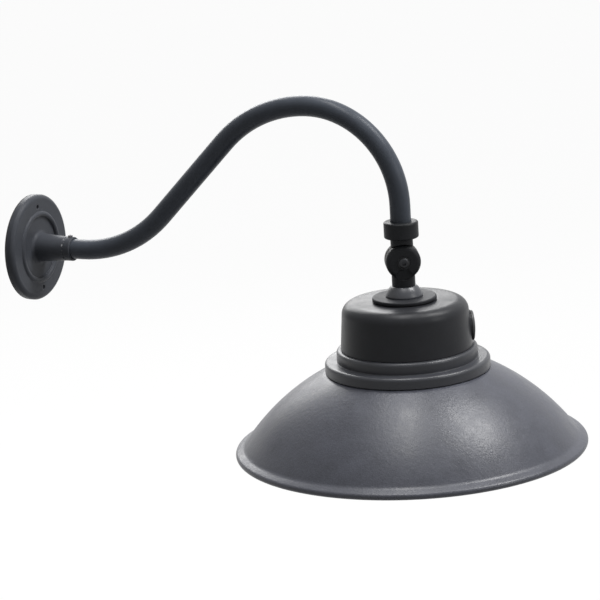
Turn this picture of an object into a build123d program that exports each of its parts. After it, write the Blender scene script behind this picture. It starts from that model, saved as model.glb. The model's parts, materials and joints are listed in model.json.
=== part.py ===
"""Gooseneck wall light: round wall plate, bent tube arm, knuckle swivel and a spun shade.

Units are millimetres. The origin is the centre of the wall plate's back face: the wall is the
plane x = 0, +X points out of the wall and +Z points up. The arm lies in the plane y = 0.
The head hangs below the arm's end, turned about the vertical by HEAD_TURN.
"""

from build123d import *
from math import cos, radians, sin, tan
import os

os.makedirs("parts", exist_ok=True)

# ---------------------------------------------------------------- fits and small clearances
THREAD_GAP = 0.05        # radial, between a screw and its threaded hole, threads not drawn
SLIP_GAP = 0.15          # radial, tube in its socket and other slip fits
RUNNING_GAP = 0.08       # radial, pins and spigots that turn
FACE_GAP = 0.05          # axial, between faces that turn on each other
SCREW_HOLE_GAP = 0.3     # radial, screw through a clearance hole
TAPPED_RUNOUT = 2.0      # tapped hole past its screw's tip
QUARTER_TURN = 90.0

# ---------------------------------------------------------------- wall plate
PLATE_D = 114.3
PLATE_DEPTH = 10.2       # wall to the flat front face
PLATE_SIDE = 6.3         # wall to where the outer edge starts to round
PLATE_FACE_D = 102.0     # diameter where the rounded edge meets the flat front face
PLATE_EDGE_ANGLE = 45.0  # where the rounded edge's middle point lies on its quarter round
PLATE_WALL = 3.0
RIDGE_D = 72.0           # raised ring on the front face, to its crest
RIDGE_HEIGHT = 1.9
RIDGE_WIDTH = 6.0
DISH_DROP = 1.2          # the face inside the ridge lies this much nearer the wall
BOSS_BASE_D = 31.0
BOSS_END_D = 25.0
BOSS_LENGTH = 42.3       # front face to the boss's mouth
BOSS_FOOT_R = 4.0
BOSS_LIP = 8.0           # length of the lip in front of the groove
BOSS_LIP_R = 1.2
GROOVE_WIDTH = 1.0
GROOVE_DEPTH = 0.5
PLATE_GASKET_T = 1.5
PLATE_GASKET_WIDTH = 7.0
WIRE_HOLE_D = 14.0
ARM_SEAT_WALL = 3.3      # metal behind the arm's end, in front of the plate's hollow

FIXING_SPACING = 88.9    # between the two fixing holes, one above the other
FIXING_HOLE_D = 4.8

SET_SCREW_D = 5.0
SET_SCREW_PROUD = 2.0
SET_SCREW_FROM_MOUTH = 4.0
SET_SCREW_KEY = 2.5      # across flats of the hexagon socket
SET_SCREW_KEY_DEPTH = 1.8
SET_SCREW_CHAMFER = 0.5

# ---------------------------------------------------------------- arm
TUBE_D = 21.3
TUBE_WALL = 2.3
LOWER_BEND_START = 64.0  # wall to the start of the lower bend
LOWER_BEND_R = 138.0
RISE_ANGLE = 45.52       # slope of the straight tube between the lower bend and the crest
RISE_LENGTH = 114.9
CREST_R = 136.0
DROP_BEND_R = 100.0
DROP_LENGTH = 27.0       # straight tube at the arm's outer end, pointing straight down
THREAD_LENGTH = 11.0     # length of the arm's end inside the collar

# ---------------------------------------------------------------- collar and knuckle swivel
HEAD_TURN = 30.0         # head about the vertical, from straight out
COLLAR_D = 35.5
COLLAR_EDGE_R = 1.8
COLLAR_LIP_T = 2.5
SPIGOT_D = 18.6          # the swivel's spigot inside the collar
SPIGOT_BORE_D = 12.0
NECK_BORE_DEPTH = 2.0    # how far the spigot's and the stem's bores run on into each neck
SEAL_T = 1.0             # washer between the arm's end and the spigot
CLIP_D = 20.6
CLIP_T = 1.2
CLIP_GROOVE_DEPTH = 1.1
CLIP_OPEN_ANGLE = 50.0      # angle left open in the snap ring
CLIP_TO_SPIGOT_END = 1.2

UPPER_NECK_D = 23.0
UPPER_NECK_LENGTH = 6.0  # seen between the collar and the knuckle
LOWER_NECK_D = 24.0
LOWER_NECK_LENGTH = 8.0  # seen between the knuckle and the cone
KNUCKLE_D = 36.0
KNUCKLE_T = 25.0         # both cheeks together
KNUCKLE_EDGE_R = 5.0
KNUCKLE_CLEARANCE = 0.6  # round each cheek, to the other casting's neck
KNUCKLE_RING_W = 3.8     # wall round each cheek's wire chamber
KNUCKLE_FACE_T = 4.0     # outer wall of each cheek
FRICTION_T = 1.5
FRICTION_GAP = 0.05
WIRE_BORE_D = 8.0        # wire way between each neck and its cheek's chamber
PIVOT_D = 6.0
PIVOT_HUB_D = 12.0
PIVOT_HEAD_D = 11.0
PIVOT_HEAD_T = 3.6
PIVOT_HEAD_EDGE_R = 2.2
PIVOT_KEY = 4.0
PIVOT_KEY_DEPTH = 2.0
PIVOT_WASHER_D = 13.0
PIVOT_WASHER_T = 1.2
PIVOT_NUT_AF = 10.0
PIVOT_NUT_T = 5.0
PIVOT_NUT_SUNK = 2.5     # depth of the hexagon pocket that keeps the nut from turning
FACE_SEAT_DEPTH = 1.4    # the washer sits this far below the cheek's face
FAN_ANGLE = 34.0         # half angle of the sunk fan between the hub and the lower neck
FAN_DEPTH = 2.4
FAN_HUB_D = 16.0         # round land left about the washer
TOOTH_COUNT = 36         # grooves across each cheek's inner face, where the cheeks grip
TOOTH_WIDTH = 1.5
TOOTH_DEPTH = 0.9

STEM_D = 16.0
STEM_TAIL = 1.6          # stem seen past its nut
STEM_NUT_AF = 24.0
STEM_NUT_T = 5.5
STEM_WASHER_D = 30.0
STEM_WASHER_T = 1.5
CONE_TOP_D = 25.5
CONE_BASE_D = 38.0
CONE_HEIGHT = 11.0
CONE_FOOT = 1.6          # upright edge at the cone's foot
CONE_WAIST_D = 33.8      # diameter at half the flared side's height
CAP_D = 66.0
CAP_T = 3.5
CAP_EDGE_R = 1.4
CAP_PAD_D = 61.0
CAP_PAD_T = 1.0

# ---------------------------------------------------------------- housing
HOUSING_TOP_D = 128.5    # where the shoulder meets the side
HOUSING_FOOT_D = 135.8
HOUSING_H = 48.5
SHOULDER_R = 12.0
HOUSING_WALL = 3.0
POST_D = 10.0
POST_TO_LENS = 0.3       # housing screw's head to the lens's inner wall
POST_COUNT = 4
HOUSING_SCREW_D = 4.0
HOUSING_SCREW_BITE = 14.0
HOUSING_HEAD_D = 7.0
HOUSING_HEAD_T = 2.6

EYE_HEIGHT = 17.0        # photocell's axis above the housing's foot
EYE_PAD_D = 32.5
EYE_PAD_OUT = 66.3       # flat of the cast pad, from the head's axis
EYE_PAD_IN = 59.0        # inner flat, where the nut bears
EYE_INNER_PAD_D = 25.0
EYE_FLANGE_D = 31.0
EYE_FLANGE_T = 2.5
EYE_FLANGE_EDGE_R = 1.8
EYE_GASKET_T = 0.8
EYE_GASKET_D = 29.0
EYE_STEM_D = 16.0
EYE_STEM_TAIL = 2.0
EYE_NUT_AF = 21.0
EYE_NUT_T = 4.0
EYE_WINDOW_D = 20.0
EYE_WINDOW_PROUD = 0.8
EYE_WINDOW_SEAT = 1.6

# ---------------------------------------------------------------- stepped base, a heat sink
STEP_1_D = 145.0
STEP_1_H = 12.0
STEP_2_D = 170.0
STEP_2_H = 11.5
STEP_EDGE_R = 3.5
BASE_FLOOR = 5.5
BASE_HOLLOW_D = 126.0
BASE_SPIGOT_H = 4.0
BASE_SPIGOT_T = 3.0
FIN_T = 2.5
FIN_COUNT = 16
FIN_INNER_R = 12.0
FIN_SETBACK = 3.0        # fins stop this far below the base's top face
LAMP_SEAT_D = 120.0
LAMP_SEAT_DROP = 4.0
LEAD_HOLE_D = 10.0

# ---------------------------------------------------------------- driver
DRIVER_LENGTH = 92.0
DRIVER_WIDTH = 40.0
DRIVER_HEIGHT = 25.0
DRIVER_WALL = 1.5
DRIVER_EDGE_R = 3.0
DRIVER_EAR = 8.0
DRIVER_EAR_T = 2.0
DRIVER_EAR_WIDTH = 12.0
DRIVER_LID_T = 1.5
DRIVER_SCREW_D = 4.0
DRIVER_SCREW_BITE = 9.0
DRIVER_HEAD_D = 7.0
DRIVER_HEAD_T = 2.4
DRIVER_POST_D = 9.0

# ---------------------------------------------------------------- shade
SHADE_D = 364.0
SHADE_T = 1.5
SHADE_GASKET_T = 0.8
SHADE_GASKET_D = 166.0
SHADE_TOP_ANGLE = 26.2   # degrees below level where the dome starts
SHADE_END_ANGLE = 54.0   # degrees below level where the dome ends
LIP_ANGLE = 24.0
LIP_LENGTH = 5.5
LIP_FILLET_R = 9.0
BEAD_R = 3.5
BEAD_ANGLE = 250.0        # how far the rim is rolled round

# ---------------------------------------------------------------- lamp board, lens and its ring
BOARD_TO_SCREWS = 1.5    # board's edge to the heads of the housing screws
BOARD_T = 1.6
BOARD_SCREW_INSET = 4.0  # board's edge to its screws
BOARD_SCREW_COUNT = 3
BOARD_SCREW_D = 3.0
BOARD_SCREW_BITE = 2.5
BOARD_HEAD_D = 5.4
BOARD_HEAD_T = 1.8
CHIP_SIZE = 3.5
CHIP_T = 0.8
CHIP_RING_COUNT = 3
CHIPS_PER_RING = 6       # in the inner ring, and this many more in each ring outside it
CHIP_RING_PITCH = 11.0
CHIP_RING_INSET = 11.0   # board's edge to the outer ring

LENS_RIM_GAP = 0.5       # radial, round the lens's flange
LENS_FLANGE_T = 2.5
LENS_FLANGE_WIDTH = 2.5
LENS_DEPTH = 15.0        # flange's upper face to the lens's lowest point
LENS_WALL = 2.2
LENS_EDGE_R = 7.0
LENS_GASKET_T = 1.0
LENS_GASKET_WIDTH = 3.0
RING_SCREW_INSET = 7.0   # ring's edge to its screws
RING_LIP_T = 2.5
RING_EDGE_R = 2.0
RING_SCREW_FROM_SEAT = 8.0   # lamp seat's edge to the screws
RING_SCREW_COUNT = 6
RING_SCREW_D = 4.0
RING_SCREW_BITE = 8.0
RING_HEAD_D = 7.5
RING_HEAD_T = 2.6


def heading(angle):
    """Unit vector that points this many degrees above level, in a sketch."""
    return (cos(radians(angle)), sin(radians(angle)))


def label_and_write(builder, name):
    """Name the finished piece and write it."""
    builder.part.label = name
    export_step(builder.part, f"parts/{name}.step")


# ================================================================ wall plate and gasket
plate_r = PLATE_D / 2
face_r = PLATE_FACE_D / 2
ridge_r = RIDGE_D / 2
dish_x = PLATE_DEPTH - DISH_DROP
mouth_x = PLATE_DEPTH + BOSS_LENGTH
arm_seat_x = PLATE_DEPTH - PLATE_WALL + ARM_SEAT_WALL
socket_r = TUBE_D / 2 + SLIP_GAP
lip_start_x = mouth_x - BOSS_LIP
edge_mid = (
    PLATE_SIDE + (PLATE_DEPTH - PLATE_SIDE) * sin(radians(PLATE_EDGE_ANGLE)),
    face_r + (plate_r - face_r) * cos(radians(PLATE_EDGE_ANGLE)),
)
boss_taper = (BOSS_BASE_D - BOSS_END_D) / 2 / BOSS_LENGTH


def boss_radius(x):
    """Outer radius of the boss at this distance from the wall."""
    return BOSS_BASE_D / 2 - boss_taper * (x - dish_x)


with BuildPart() as wall_plate:
    with BuildSketch(Plane.XY) as plate_profile:
        with BuildLine() as plate_outline:
            Line((PLATE_GASKET_T, 0), (PLATE_GASKET_T, plate_r))
            Line((PLATE_GASKET_T, plate_r), (PLATE_SIDE, plate_r))
            ThreePointArc((PLATE_SIDE, plate_r), edge_mid, (PLATE_DEPTH, face_r))
            Line((PLATE_DEPTH, face_r), (PLATE_DEPTH, ridge_r + RIDGE_WIDTH / 2))
            ThreePointArc(
                (PLATE_DEPTH, ridge_r + RIDGE_WIDTH / 2),
                (PLATE_DEPTH + RIDGE_HEIGHT, ridge_r),
                (dish_x, ridge_r - RIDGE_WIDTH / 2),
            )
            Line((dish_x, ridge_r - RIDGE_WIDTH / 2), (dish_x, BOSS_BASE_D / 2))
            Line((dish_x, BOSS_BASE_D / 2), (lip_start_x - GROOVE_WIDTH, boss_radius(lip_start_x)))
            Polyline(
                (lip_start_x - GROOVE_WIDTH, boss_radius(lip_start_x)),
                (lip_start_x - GROOVE_WIDTH, boss_radius(lip_start_x) - GROOVE_DEPTH),
                (lip_start_x, boss_radius(lip_start_x) - GROOVE_DEPTH),
                (lip_start_x, boss_radius(lip_start_x)),
                (mouth_x, boss_radius(lip_start_x)),
                (mouth_x, 0),
            )
            Line((mouth_x, 0), (PLATE_GASKET_T, 0))
        make_face()
        foot = plate_profile.vertices().sort_by_distance((dish_x, BOSS_BASE_D / 2))[0]
        fillet(foot, BOSS_FOOT_R)
        lip_corner = plate_profile.vertices().sort_by_distance((mouth_x, boss_radius(lip_start_x)))[0]
        fillet(lip_corner, BOSS_LIP_R)
    revolve(axis=Axis.X)
    # the hollow behind the plate, the wire way and the arm's socket
    with BuildSketch(Plane.XY) as plate_hollow:
        with BuildLine():
            Polyline(
                (0, 0),
                (0, plate_r - PLATE_WALL),
                (PLATE_SIDE, plate_r - PLATE_WALL),
                (PLATE_DEPTH - PLATE_WALL, face_r),
                (PLATE_DEPTH - PLATE_WALL, WIRE_HOLE_D / 2),
                (arm_seat_x, WIRE_HOLE_D / 2),
                (arm_seat_x, socket_r),
                (mouth_x, socket_r),
                (mouth_x, 0),
                (0, 0),
            )
        make_face()
    revolve(axis=Axis.X, mode=Mode.SUBTRACT)
    with BuildSketch(Plane.YZ):
        with Locations((0, FIXING_SPACING / 2), (0, -FIXING_SPACING / 2)):
            Circle(FIXING_HOLE_D / 2)
    extrude(amount=PLATE_DEPTH + RIDGE_HEIGHT, mode=Mode.SUBTRACT)
    with BuildSketch(Plane.XY.offset(socket_r - SLIP_GAP)):
        with Locations((mouth_x - SET_SCREW_FROM_MOUTH, 0)):
            Circle(SET_SCREW_D / 2 + THREAD_GAP)
    extrude(amount=BOSS_BASE_D / 2, mode=Mode.SUBTRACT)
label_and_write(wall_plate, "wall_plate")

with BuildPart() as plate_gasket:
    with BuildSketch(Plane.YZ):
        Circle(plate_r - SLIP_GAP)
        Circle(plate_r - PLATE_GASKET_WIDTH, mode=Mode.SUBTRACT)
    extrude(amount=PLATE_GASKET_T)
label_and_write(plate_gasket, "plate_gasket")

set_screw_top = boss_radius(lip_start_x) + SET_SCREW_PROUD
with BuildPart() as arm_set_screw:
    with BuildSketch(Plane.XY.offset(TUBE_D / 2)):
        with Locations((mouth_x - SET_SCREW_FROM_MOUTH, 0)):
            Circle(SET_SCREW_D / 2)
    extrude(amount=set_screw_top - TUBE_D / 2)
    chamfer(arm_set_screw.faces().sort_by(Axis.Z)[-1].edges(), SET_SCREW_CHAMFER)
    with BuildSketch(Plane.XY.offset(set_screw_top)):
        with Locations((mouth_x - SET_SCREW_FROM_MOUTH, 0)):
            RegularPolygon(SET_SCREW_KEY / 2, 6, major_radius=False)
    extrude(amount=-SET_SCREW_KEY_DEPTH, mode=Mode.SUBTRACT)
label_and_write(arm_set_screw, "arm_set_screw")

# ================================================================ arm
with BuildPart() as gooseneck_arm:
    with BuildLine(Plane.XZ) as arm_path:
        root = Line((arm_seat_x, 0), (LOWER_BEND_START, 0))
        lower_bend = JernArc(
            start=root @ 1, tangent=root % 1, radius=LOWER_BEND_R, arc_size=RISE_ANGLE
        )
        rise = PolarLine(lower_bend @ 1, RISE_LENGTH, RISE_ANGLE)
        crest = JernArc(start=rise @ 1, tangent=rise % 1, radius=CREST_R, arc_size=-RISE_ANGLE)
        drop_bend = JernArc(
            start=crest @ 1, tangent=crest % 1, radius=DROP_BEND_R, arc_size=-QUARTER_TURN
        )
        drop = PolarLine(drop_bend @ 1, DROP_LENGTH, -QUARTER_TURN)
    with BuildSketch(Plane.YZ.offset(arm_seat_x)):
        Circle(TUBE_D / 2)
        Circle(TUBE_D / 2 - TUBE_WALL, mode=Mode.SUBTRACT)
    sweep(path=arm_path.line)
label_and_write(gooseneck_arm, "gooseneck_arm")

reach = (drop @ 1).X                         # wall to the head's axis
arm_end_z = (drop @ 1).Z

# ================================================================ heights down the head's axis
spigot_top_z = arm_end_z - SEAL_T
clip_top_z = spigot_top_z - CLIP_TO_SPIGOT_END
clip_bottom_z = clip_top_z - CLIP_T
collar_lip_top_z = clip_bottom_z - FACE_GAP
collar_bottom_z = collar_lip_top_z - COLLAR_LIP_T
collar_top_z = arm_end_z + THREAD_LENGTH
neck_top_z = collar_bottom_z - FACE_GAP
knuckle_r = KNUCKLE_D / 2
knuckle_z = neck_top_z - UPPER_NECK_LENGTH - knuckle_r
neck_foot_z = knuckle_z - knuckle_r - LOWER_NECK_LENGTH
cone_foot_z = neck_foot_z - CONE_HEIGHT
cap_bottom_z = cone_foot_z - CAP_T
housing_top_z = cap_bottom_z - CAP_PAD_T
housing_foot_z = housing_top_z - HOUSING_H
stem_washer_z = housing_top_z - HOUSING_WALL
stem_nut_z = stem_washer_z - STEM_WASHER_T
stem_end_z = stem_nut_z - STEM_NUT_T - STEM_TAIL
step_2_top_z = housing_foot_z - STEP_1_H
base_foot_z = step_2_top_z - STEP_2_H
base_floor_z = base_foot_z + BASE_FLOOR
fin_top_z = housing_foot_z - FIN_SETBACK
shade_top_z = base_foot_z - SHADE_GASKET_T
shade_under_z = shade_top_z - SHADE_T
lamp_seat_z = base_foot_z - LAMP_SEAT_DROP
lens_top_z = lamp_seat_z - LENS_GASKET_T
lens_flange_z = lens_top_z - LENS_FLANGE_T
ring_foot_z = lens_flange_z - FACE_GAP - RING_LIP_T

# ---------------------------------------------------------------- radii round the lamp
shade_hole_r = LAMP_SEAT_D / 2 + SLIP_GAP
lens_r = LAMP_SEAT_D / 2 - LENS_RIM_GAP
body_r = lens_r - LENS_FLANGE_WIDTH
post_radius = body_r - LENS_WALL - POST_TO_LENS - HOUSING_HEAD_D / 2
board_r = post_radius - HOUSING_HEAD_D / 2 - BOARD_TO_SCREWS
board_screw_radius = board_r - BOARD_SCREW_INSET
ring_screw_radius = LAMP_SEAT_D / 2 + RING_SCREW_FROM_SEAT
ring_r = ring_screw_radius + RING_SCREW_INSET

turn = radians(HEAD_TURN)
out_dir = (cos(turn), sin(turn), 0)          # level, the way the head faces
side_dir = (sin(turn), -cos(turn), 0)        # level, along the tilt pin, towards its head
HEAD_SIDE = Plane(origin=(reach, 0, 0), x_dir=out_dir, z_dir=side_dir)
HEAD_TOP = Plane(origin=(reach, 0, 0), x_dir=out_dir, z_dir=(0, 0, 1))
HEAD_OUT = Plane(origin=(reach, 0, 0), x_dir=(-sin(turn), cos(turn), 0), z_dir=out_dir)
HEAD_AXIS = Axis((reach, 0, 0), (0, 0, 1))

# ================================================================ collar and its ring and seal
with BuildPart() as collar_nut:
    with BuildSketch(HEAD_TOP.offset(collar_bottom_z)):
        Circle(COLLAR_D / 2)
    extrude(amount=collar_top_z - collar_bottom_z)
    fillet(collar_nut.edges().filter_by(GeomType.CIRCLE), COLLAR_EDGE_R)
    with BuildSketch(HEAD_TOP.offset(collar_bottom_z)):
        Circle(SPIGOT_D / 2 + RUNNING_GAP)
    extrude(amount=COLLAR_LIP_T, mode=Mode.SUBTRACT)
    with BuildSketch(HEAD_TOP.offset(collar_lip_top_z)):
        Circle(TUBE_D / 2 + THREAD_GAP)
    extrude(amount=collar_top_z - collar_lip_top_z, mode=Mode.SUBTRACT)
label_and_write(collar_nut, "collar_nut")

with BuildPart() as arm_seal:
    with BuildSketch(HEAD_TOP.offset(spigot_top_z)):
        Circle(TUBE_D / 2 - SLIP_GAP)
        Circle(SPIGOT_BORE_D / 2 + SLIP_GAP, mode=Mode.SUBTRACT)
    extrude(amount=SEAL_T)
label_and_write(arm_seal, "arm_seal")

with BuildPart() as snap_ring:
    with BuildSketch(HEAD_TOP.offset(clip_bottom_z)):
        Circle(CLIP_D / 2)
        Circle(SPIGOT_D / 2 - CLIP_GROOVE_DEPTH + THREAD_GAP, mode=Mode.SUBTRACT)
        with BuildLine():
            slot_reach = CLIP_D
            slot_half = slot_reach * tan(radians(CLIP_OPEN_ANGLE / 2))
            Polyline((0, 0), (slot_reach, slot_half), (slot_reach, -slot_half), (0, 0))
        make_face(mode=Mode.SUBTRACT)
    extrude(amount=CLIP_T)
label_and_write(snap_ring, "snap_ring")

# ================================================================ knuckle: two cheeks on one pin
cheek_inner = FRICTION_T / 2 + FRICTION_GAP      # each cheek's inner face, from the middle plane
cheek_outer = KNUCKLE_T / 2
chamber_r = knuckle_r - KNUCKLE_RING_W
chamber_depth = cheek_outer - KNUCKLE_FACE_T - cheek_inner
pocket_r = knuckle_r + KNUCKLE_CLEARANCE
wire_way = (cheek_inner + cheek_outer - KNUCKLE_FACE_T) / 2   # wire bore's centre from the middle
seat_face = cheek_outer - FACE_SEAT_DEPTH
fan_side = tan(radians(FAN_ANGLE))


def grip_grooves(face):
    """A ring of short grooves on a cheek's inner face, where it bears on the friction ring."""
    with BuildSketch(HEAD_SIDE.offset(face)) as grooves:
        with Locations((0, knuckle_z)):
            with PolarLocations((chamber_r + knuckle_r) / 2, TOOTH_COUNT):
                Rectangle(KNUCKLE_RING_W * 2, TOOTH_WIDTH)
            Circle(chamber_r, mode=Mode.SUBTRACT)
            Circle(knuckle_r, mode=Mode.INTERSECT)
    return grooves.sketch


with BuildPart() as swivel_upper:
    with BuildSketch(HEAD_TOP.offset(knuckle_z)):
        Circle(UPPER_NECK_D / 2)
    extrude(amount=neck_top_z - knuckle_z)
    # room for the lower casting's cheek to turn in
    with BuildSketch(HEAD_SIDE.offset(-cheek_inner)):
        with Locations((0, knuckle_z)):
            Circle(pocket_r)
    extrude(amount=cheek_outer * 2, mode=Mode.SUBTRACT)
    with BuildSketch(HEAD_SIDE.offset(-cheek_outer)):
        with Locations((0, knuckle_z)):
            Circle(knuckle_r)
    extrude(amount=cheek_outer - cheek_inner)
    rim = swivel_upper.faces().sort_by(Axis((reach, 0, 0), side_dir))[0].edges()
    fillet(rim.filter_by(GeomType.CIRCLE), KNUCKLE_EDGE_R)
    # spigot inside the collar, with the snap ring's groove
    with BuildSketch(HEAD_TOP.offset(neck_top_z)):
        Circle(SPIGOT_D / 2)
    extrude(amount=spigot_top_z - neck_top_z)
    with BuildSketch(HEAD_TOP.offset(clip_bottom_z)):
        Circle(SPIGOT_D / 2)
        Circle(SPIGOT_D / 2 - CLIP_GROOVE_DEPTH, mode=Mode.SUBTRACT)
    extrude(amount=CLIP_T, mode=Mode.SUBTRACT)
    # wire chamber round the pin's hub, and the wire way up through the neck
    with BuildSketch(HEAD_SIDE.offset(-cheek_inner)):
        with Locations((0, knuckle_z)):
            Circle(chamber_r)
            Circle(PIVOT_HUB_D / 2, mode=Mode.SUBTRACT)
    extrude(amount=-chamber_depth, mode=Mode.SUBTRACT)
    with BuildSketch(HEAD_TOP.offset(knuckle_z + PIVOT_HUB_D / 2)):
        with Locations((0, wire_way)):
            Circle(WIRE_BORE_D / 2)
    extrude(amount=neck_top_z - knuckle_z - PIVOT_HUB_D / 2, mode=Mode.SUBTRACT)
    with BuildSketch(HEAD_TOP.offset(neck_top_z - NECK_BORE_DEPTH)):
        Circle(SPIGOT_BORE_D / 2)
    extrude(amount=spigot_top_z - neck_top_z + NECK_BORE_DEPTH, mode=Mode.SUBTRACT)
    extrude(grip_grooves(-cheek_inner), amount=-TOOTH_DEPTH, mode=Mode.SUBTRACT)
    # pin bore and the nut's hexagon pocket
    with BuildSketch(HEAD_SIDE):
        with Locations((0, knuckle_z)):
            Circle(PIVOT_D / 2 + RUNNING_GAP)
    extrude(amount=-cheek_outer, mode=Mode.SUBTRACT)
    with BuildSketch(HEAD_SIDE.offset(-cheek_outer)):
        with Locations((0, knuckle_z)):
            RegularPolygon(PIVOT_NUT_AF / 2 + SLIP_GAP, 6, major_radius=False)
    extrude(amount=PIVOT_NUT_SUNK, mode=Mode.SUBTRACT)
label_and_write(swivel_upper, "swivel_upper")

with BuildPart() as swivel_lower:
    with BuildSketch(HEAD_TOP.offset(knuckle_z)):
        Circle(LOWER_NECK_D / 2)
    extrude(amount=neck_foot_z - knuckle_z)
    with BuildSketch(HEAD_SIDE.offset(cheek_inner)):
        with Locations((0, knuckle_z)):
            Circle(pocket_r)
    extrude(amount=-cheek_outer * 2, mode=Mode.SUBTRACT)
    with BuildSketch(HEAD_SIDE.offset(cheek_inner)):
        with Locations((0, knuckle_z)):
            Circle(knuckle_r)
    extrude(amount=cheek_outer - cheek_inner)
    rim = swivel_lower.faces().sort_by(Axis((reach, 0, 0), side_dir))[-1].edges()
    fillet(rim.filter_by(GeomType.CIRCLE), KNUCKLE_EDGE_R)
    # the outer face is sunk in a fan below the hub, and spot-faced for the washer
    with BuildSketch(HEAD_SIDE.offset(cheek_outer)):
        with BuildLine():
            Polyline(
                (0, knuckle_z),
                (fan_side * KNUCKLE_D, knuckle_z - KNUCKLE_D),
                (-fan_side * KNUCKLE_D, knuckle_z - KNUCKLE_D),
                (0, knuckle_z),
            )
        make_face()
        with Locations((0, knuckle_z)):
            Circle(FAN_HUB_D / 2, mode=Mode.SUBTRACT)
            Circle(knuckle_r, mode=Mode.INTERSECT)
    extrude(amount=-FAN_DEPTH, mode=Mode.SUBTRACT)
    with BuildSketch(HEAD_SIDE.offset(seat_face)):
        with Locations((0, knuckle_z)):
            Circle(PIVOT_WASHER_D / 2 + SLIP_GAP)
    extrude(amount=FACE_SEAT_DEPTH, mode=Mode.SUBTRACT)
    with BuildSketch(HEAD_TOP.offset(neck_foot_z)):
        Circle(STEM_D / 2)
    extrude(amount=stem_end_z - neck_foot_z)
    with BuildSketch(HEAD_SIDE.offset(cheek_inner)):
        with Locations((0, knuckle_z)):
            Circle(chamber_r)
            Circle(PIVOT_HUB_D / 2, mode=Mode.SUBTRACT)
    extrude(amount=chamber_depth, mode=Mode.SUBTRACT)
    with BuildSketch(HEAD_TOP.offset(knuckle_z - PIVOT_HUB_D / 2)):
        with Locations((0, -wire_way)):
            Circle(WIRE_BORE_D / 2)
    extrude(amount=neck_foot_z - knuckle_z + PIVOT_HUB_D / 2, mode=Mode.SUBTRACT)
    with BuildSketch(HEAD_TOP.offset(neck_foot_z + NECK_BORE_DEPTH)):
        Circle(SPIGOT_BORE_D / 2)
    extrude(amount=stem_end_z - neck_foot_z - NECK_BORE_DEPTH, mode=Mode.SUBTRACT)
    extrude(grip_grooves(cheek_inner), amount=TOOTH_DEPTH, mode=Mode.SUBTRACT)
    with BuildSketch(HEAD_SIDE):
        with Locations((0, knuckle_z)):
            Circle(PIVOT_D / 2 + RUNNING_GAP)
    extrude(amount=cheek_outer, mode=Mode.SUBTRACT)
label_and_write(swivel_lower, "swivel_lower")

with BuildPart() as friction_ring:
    with BuildSketch(HEAD_SIDE.offset(-FRICTION_T / 2)):
        with Locations((0, knuckle_z)):
            Circle(knuckle_r - SLIP_GAP)
            Circle(chamber_r, mode=Mode.SUBTRACT)
    extrude(amount=FRICTION_T)
label_and_write(friction_ring, "friction_ring")

washer_face = seat_face + FACE_GAP
head_face = washer_face + PIVOT_WASHER_T
nut_face = -cheek_outer + PIVOT_NUT_SUNK
with BuildPart() as pivot_bolt:
    with BuildSketch(HEAD_SIDE.offset(nut_face - PIVOT_NUT_T)):
        with Locations((0, knuckle_z)):
            Circle(PIVOT_D / 2)
    extrude(amount=head_face - nut_face + PIVOT_NUT_T)
    with BuildSketch(HEAD_SIDE.offset(head_face)):
        with Locations((0, knuckle_z)):
            Circle(PIVOT_HEAD_D / 2)
    extrude(amount=PIVOT_HEAD_T)
    head_rim = pivot_bolt.faces().sort_by(Axis((reach, 0, 0), side_dir))[-1].edges()
    fillet(head_rim, PIVOT_HEAD_EDGE_R)
    with BuildSketch(HEAD_SIDE.offset(head_face + PIVOT_HEAD_T)):
        with Locations((0, knuckle_z)):
            RegularPolygon(PIVOT_KEY / 2, 6, major_radius=False)
    extrude(amount=-PIVOT_KEY_DEPTH, mode=Mode.SUBTRACT)
label_and_write(pivot_bolt, "pivot_bolt")

with BuildPart() as pivot_washer:
    with BuildSketch(HEAD_SIDE.offset(washer_face)):
        with Locations((0, knuckle_z)):
            Circle(PIVOT_WASHER_D / 2)
            Circle(PIVOT_D / 2 + RUNNING_GAP, mode=Mode.SUBTRACT)
    extrude(amount=PIVOT_WASHER_T)
label_and_write(pivot_washer, "pivot_washer")

with BuildPart() as pivot_nut:
    with BuildSketch(HEAD_SIDE.offset(nut_face - PIVOT_NUT_T)):
        with Locations((0, knuckle_z)):
            RegularPolygon(PIVOT_NUT_AF / 2, 6, major_radius=False)
            Circle(PIVOT_D / 2 + THREAD_GAP, mode=Mode.SUBTRACT)
    extrude(amount=PIVOT_NUT_T)
label_and_write(pivot_nut, "pivot_nut")

# ================================================================ cone, cap, stem nut
with BuildPart() as neck_cone:
    with BuildSketch(HEAD_SIDE):
        with BuildLine():
            Line((STEM_D / 2 + SLIP_GAP, neck_foot_z), (CONE_TOP_D / 2, neck_foot_z))
            ThreePointArc(
                (CONE_TOP_D / 2, neck_foot_z),
                (CONE_WAIST_D / 2, neck_foot_z - (CONE_HEIGHT - CONE_FOOT) / 2),
                (CONE_BASE_D / 2, cone_foot_z + CONE_FOOT),
            )
            Polyline(
                (CONE_BASE_D / 2, cone_foot_z + CONE_FOOT),
                (CONE_BASE_D / 2, cone_foot_z),
                (STEM_D / 2 + SLIP_GAP, cone_foot_z),
                (STEM_D / 2 + SLIP_GAP, neck_foot_z),
            )
        make_face()
    revolve(axis=HEAD_AXIS)
label_and_write(neck_cone, "neck_cone")

with BuildPart() as cap_plate:
    with BuildSketch(HEAD_TOP.offset(cap_bottom_z)):
        Circle(CAP_D / 2)
    extrude(amount=CAP_T)
    fillet(cap_plate.edges().group_by(Axis.Z)[-1], CAP_EDGE_R)
    with BuildSketch(HEAD_TOP.offset(cap_bottom_z)):
        Circle(STEM_D / 2 + SLIP_GAP)
    extrude(amount=CAP_T, mode=Mode.SUBTRACT)
label_and_write(cap_plate, "cap_plate")

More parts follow.
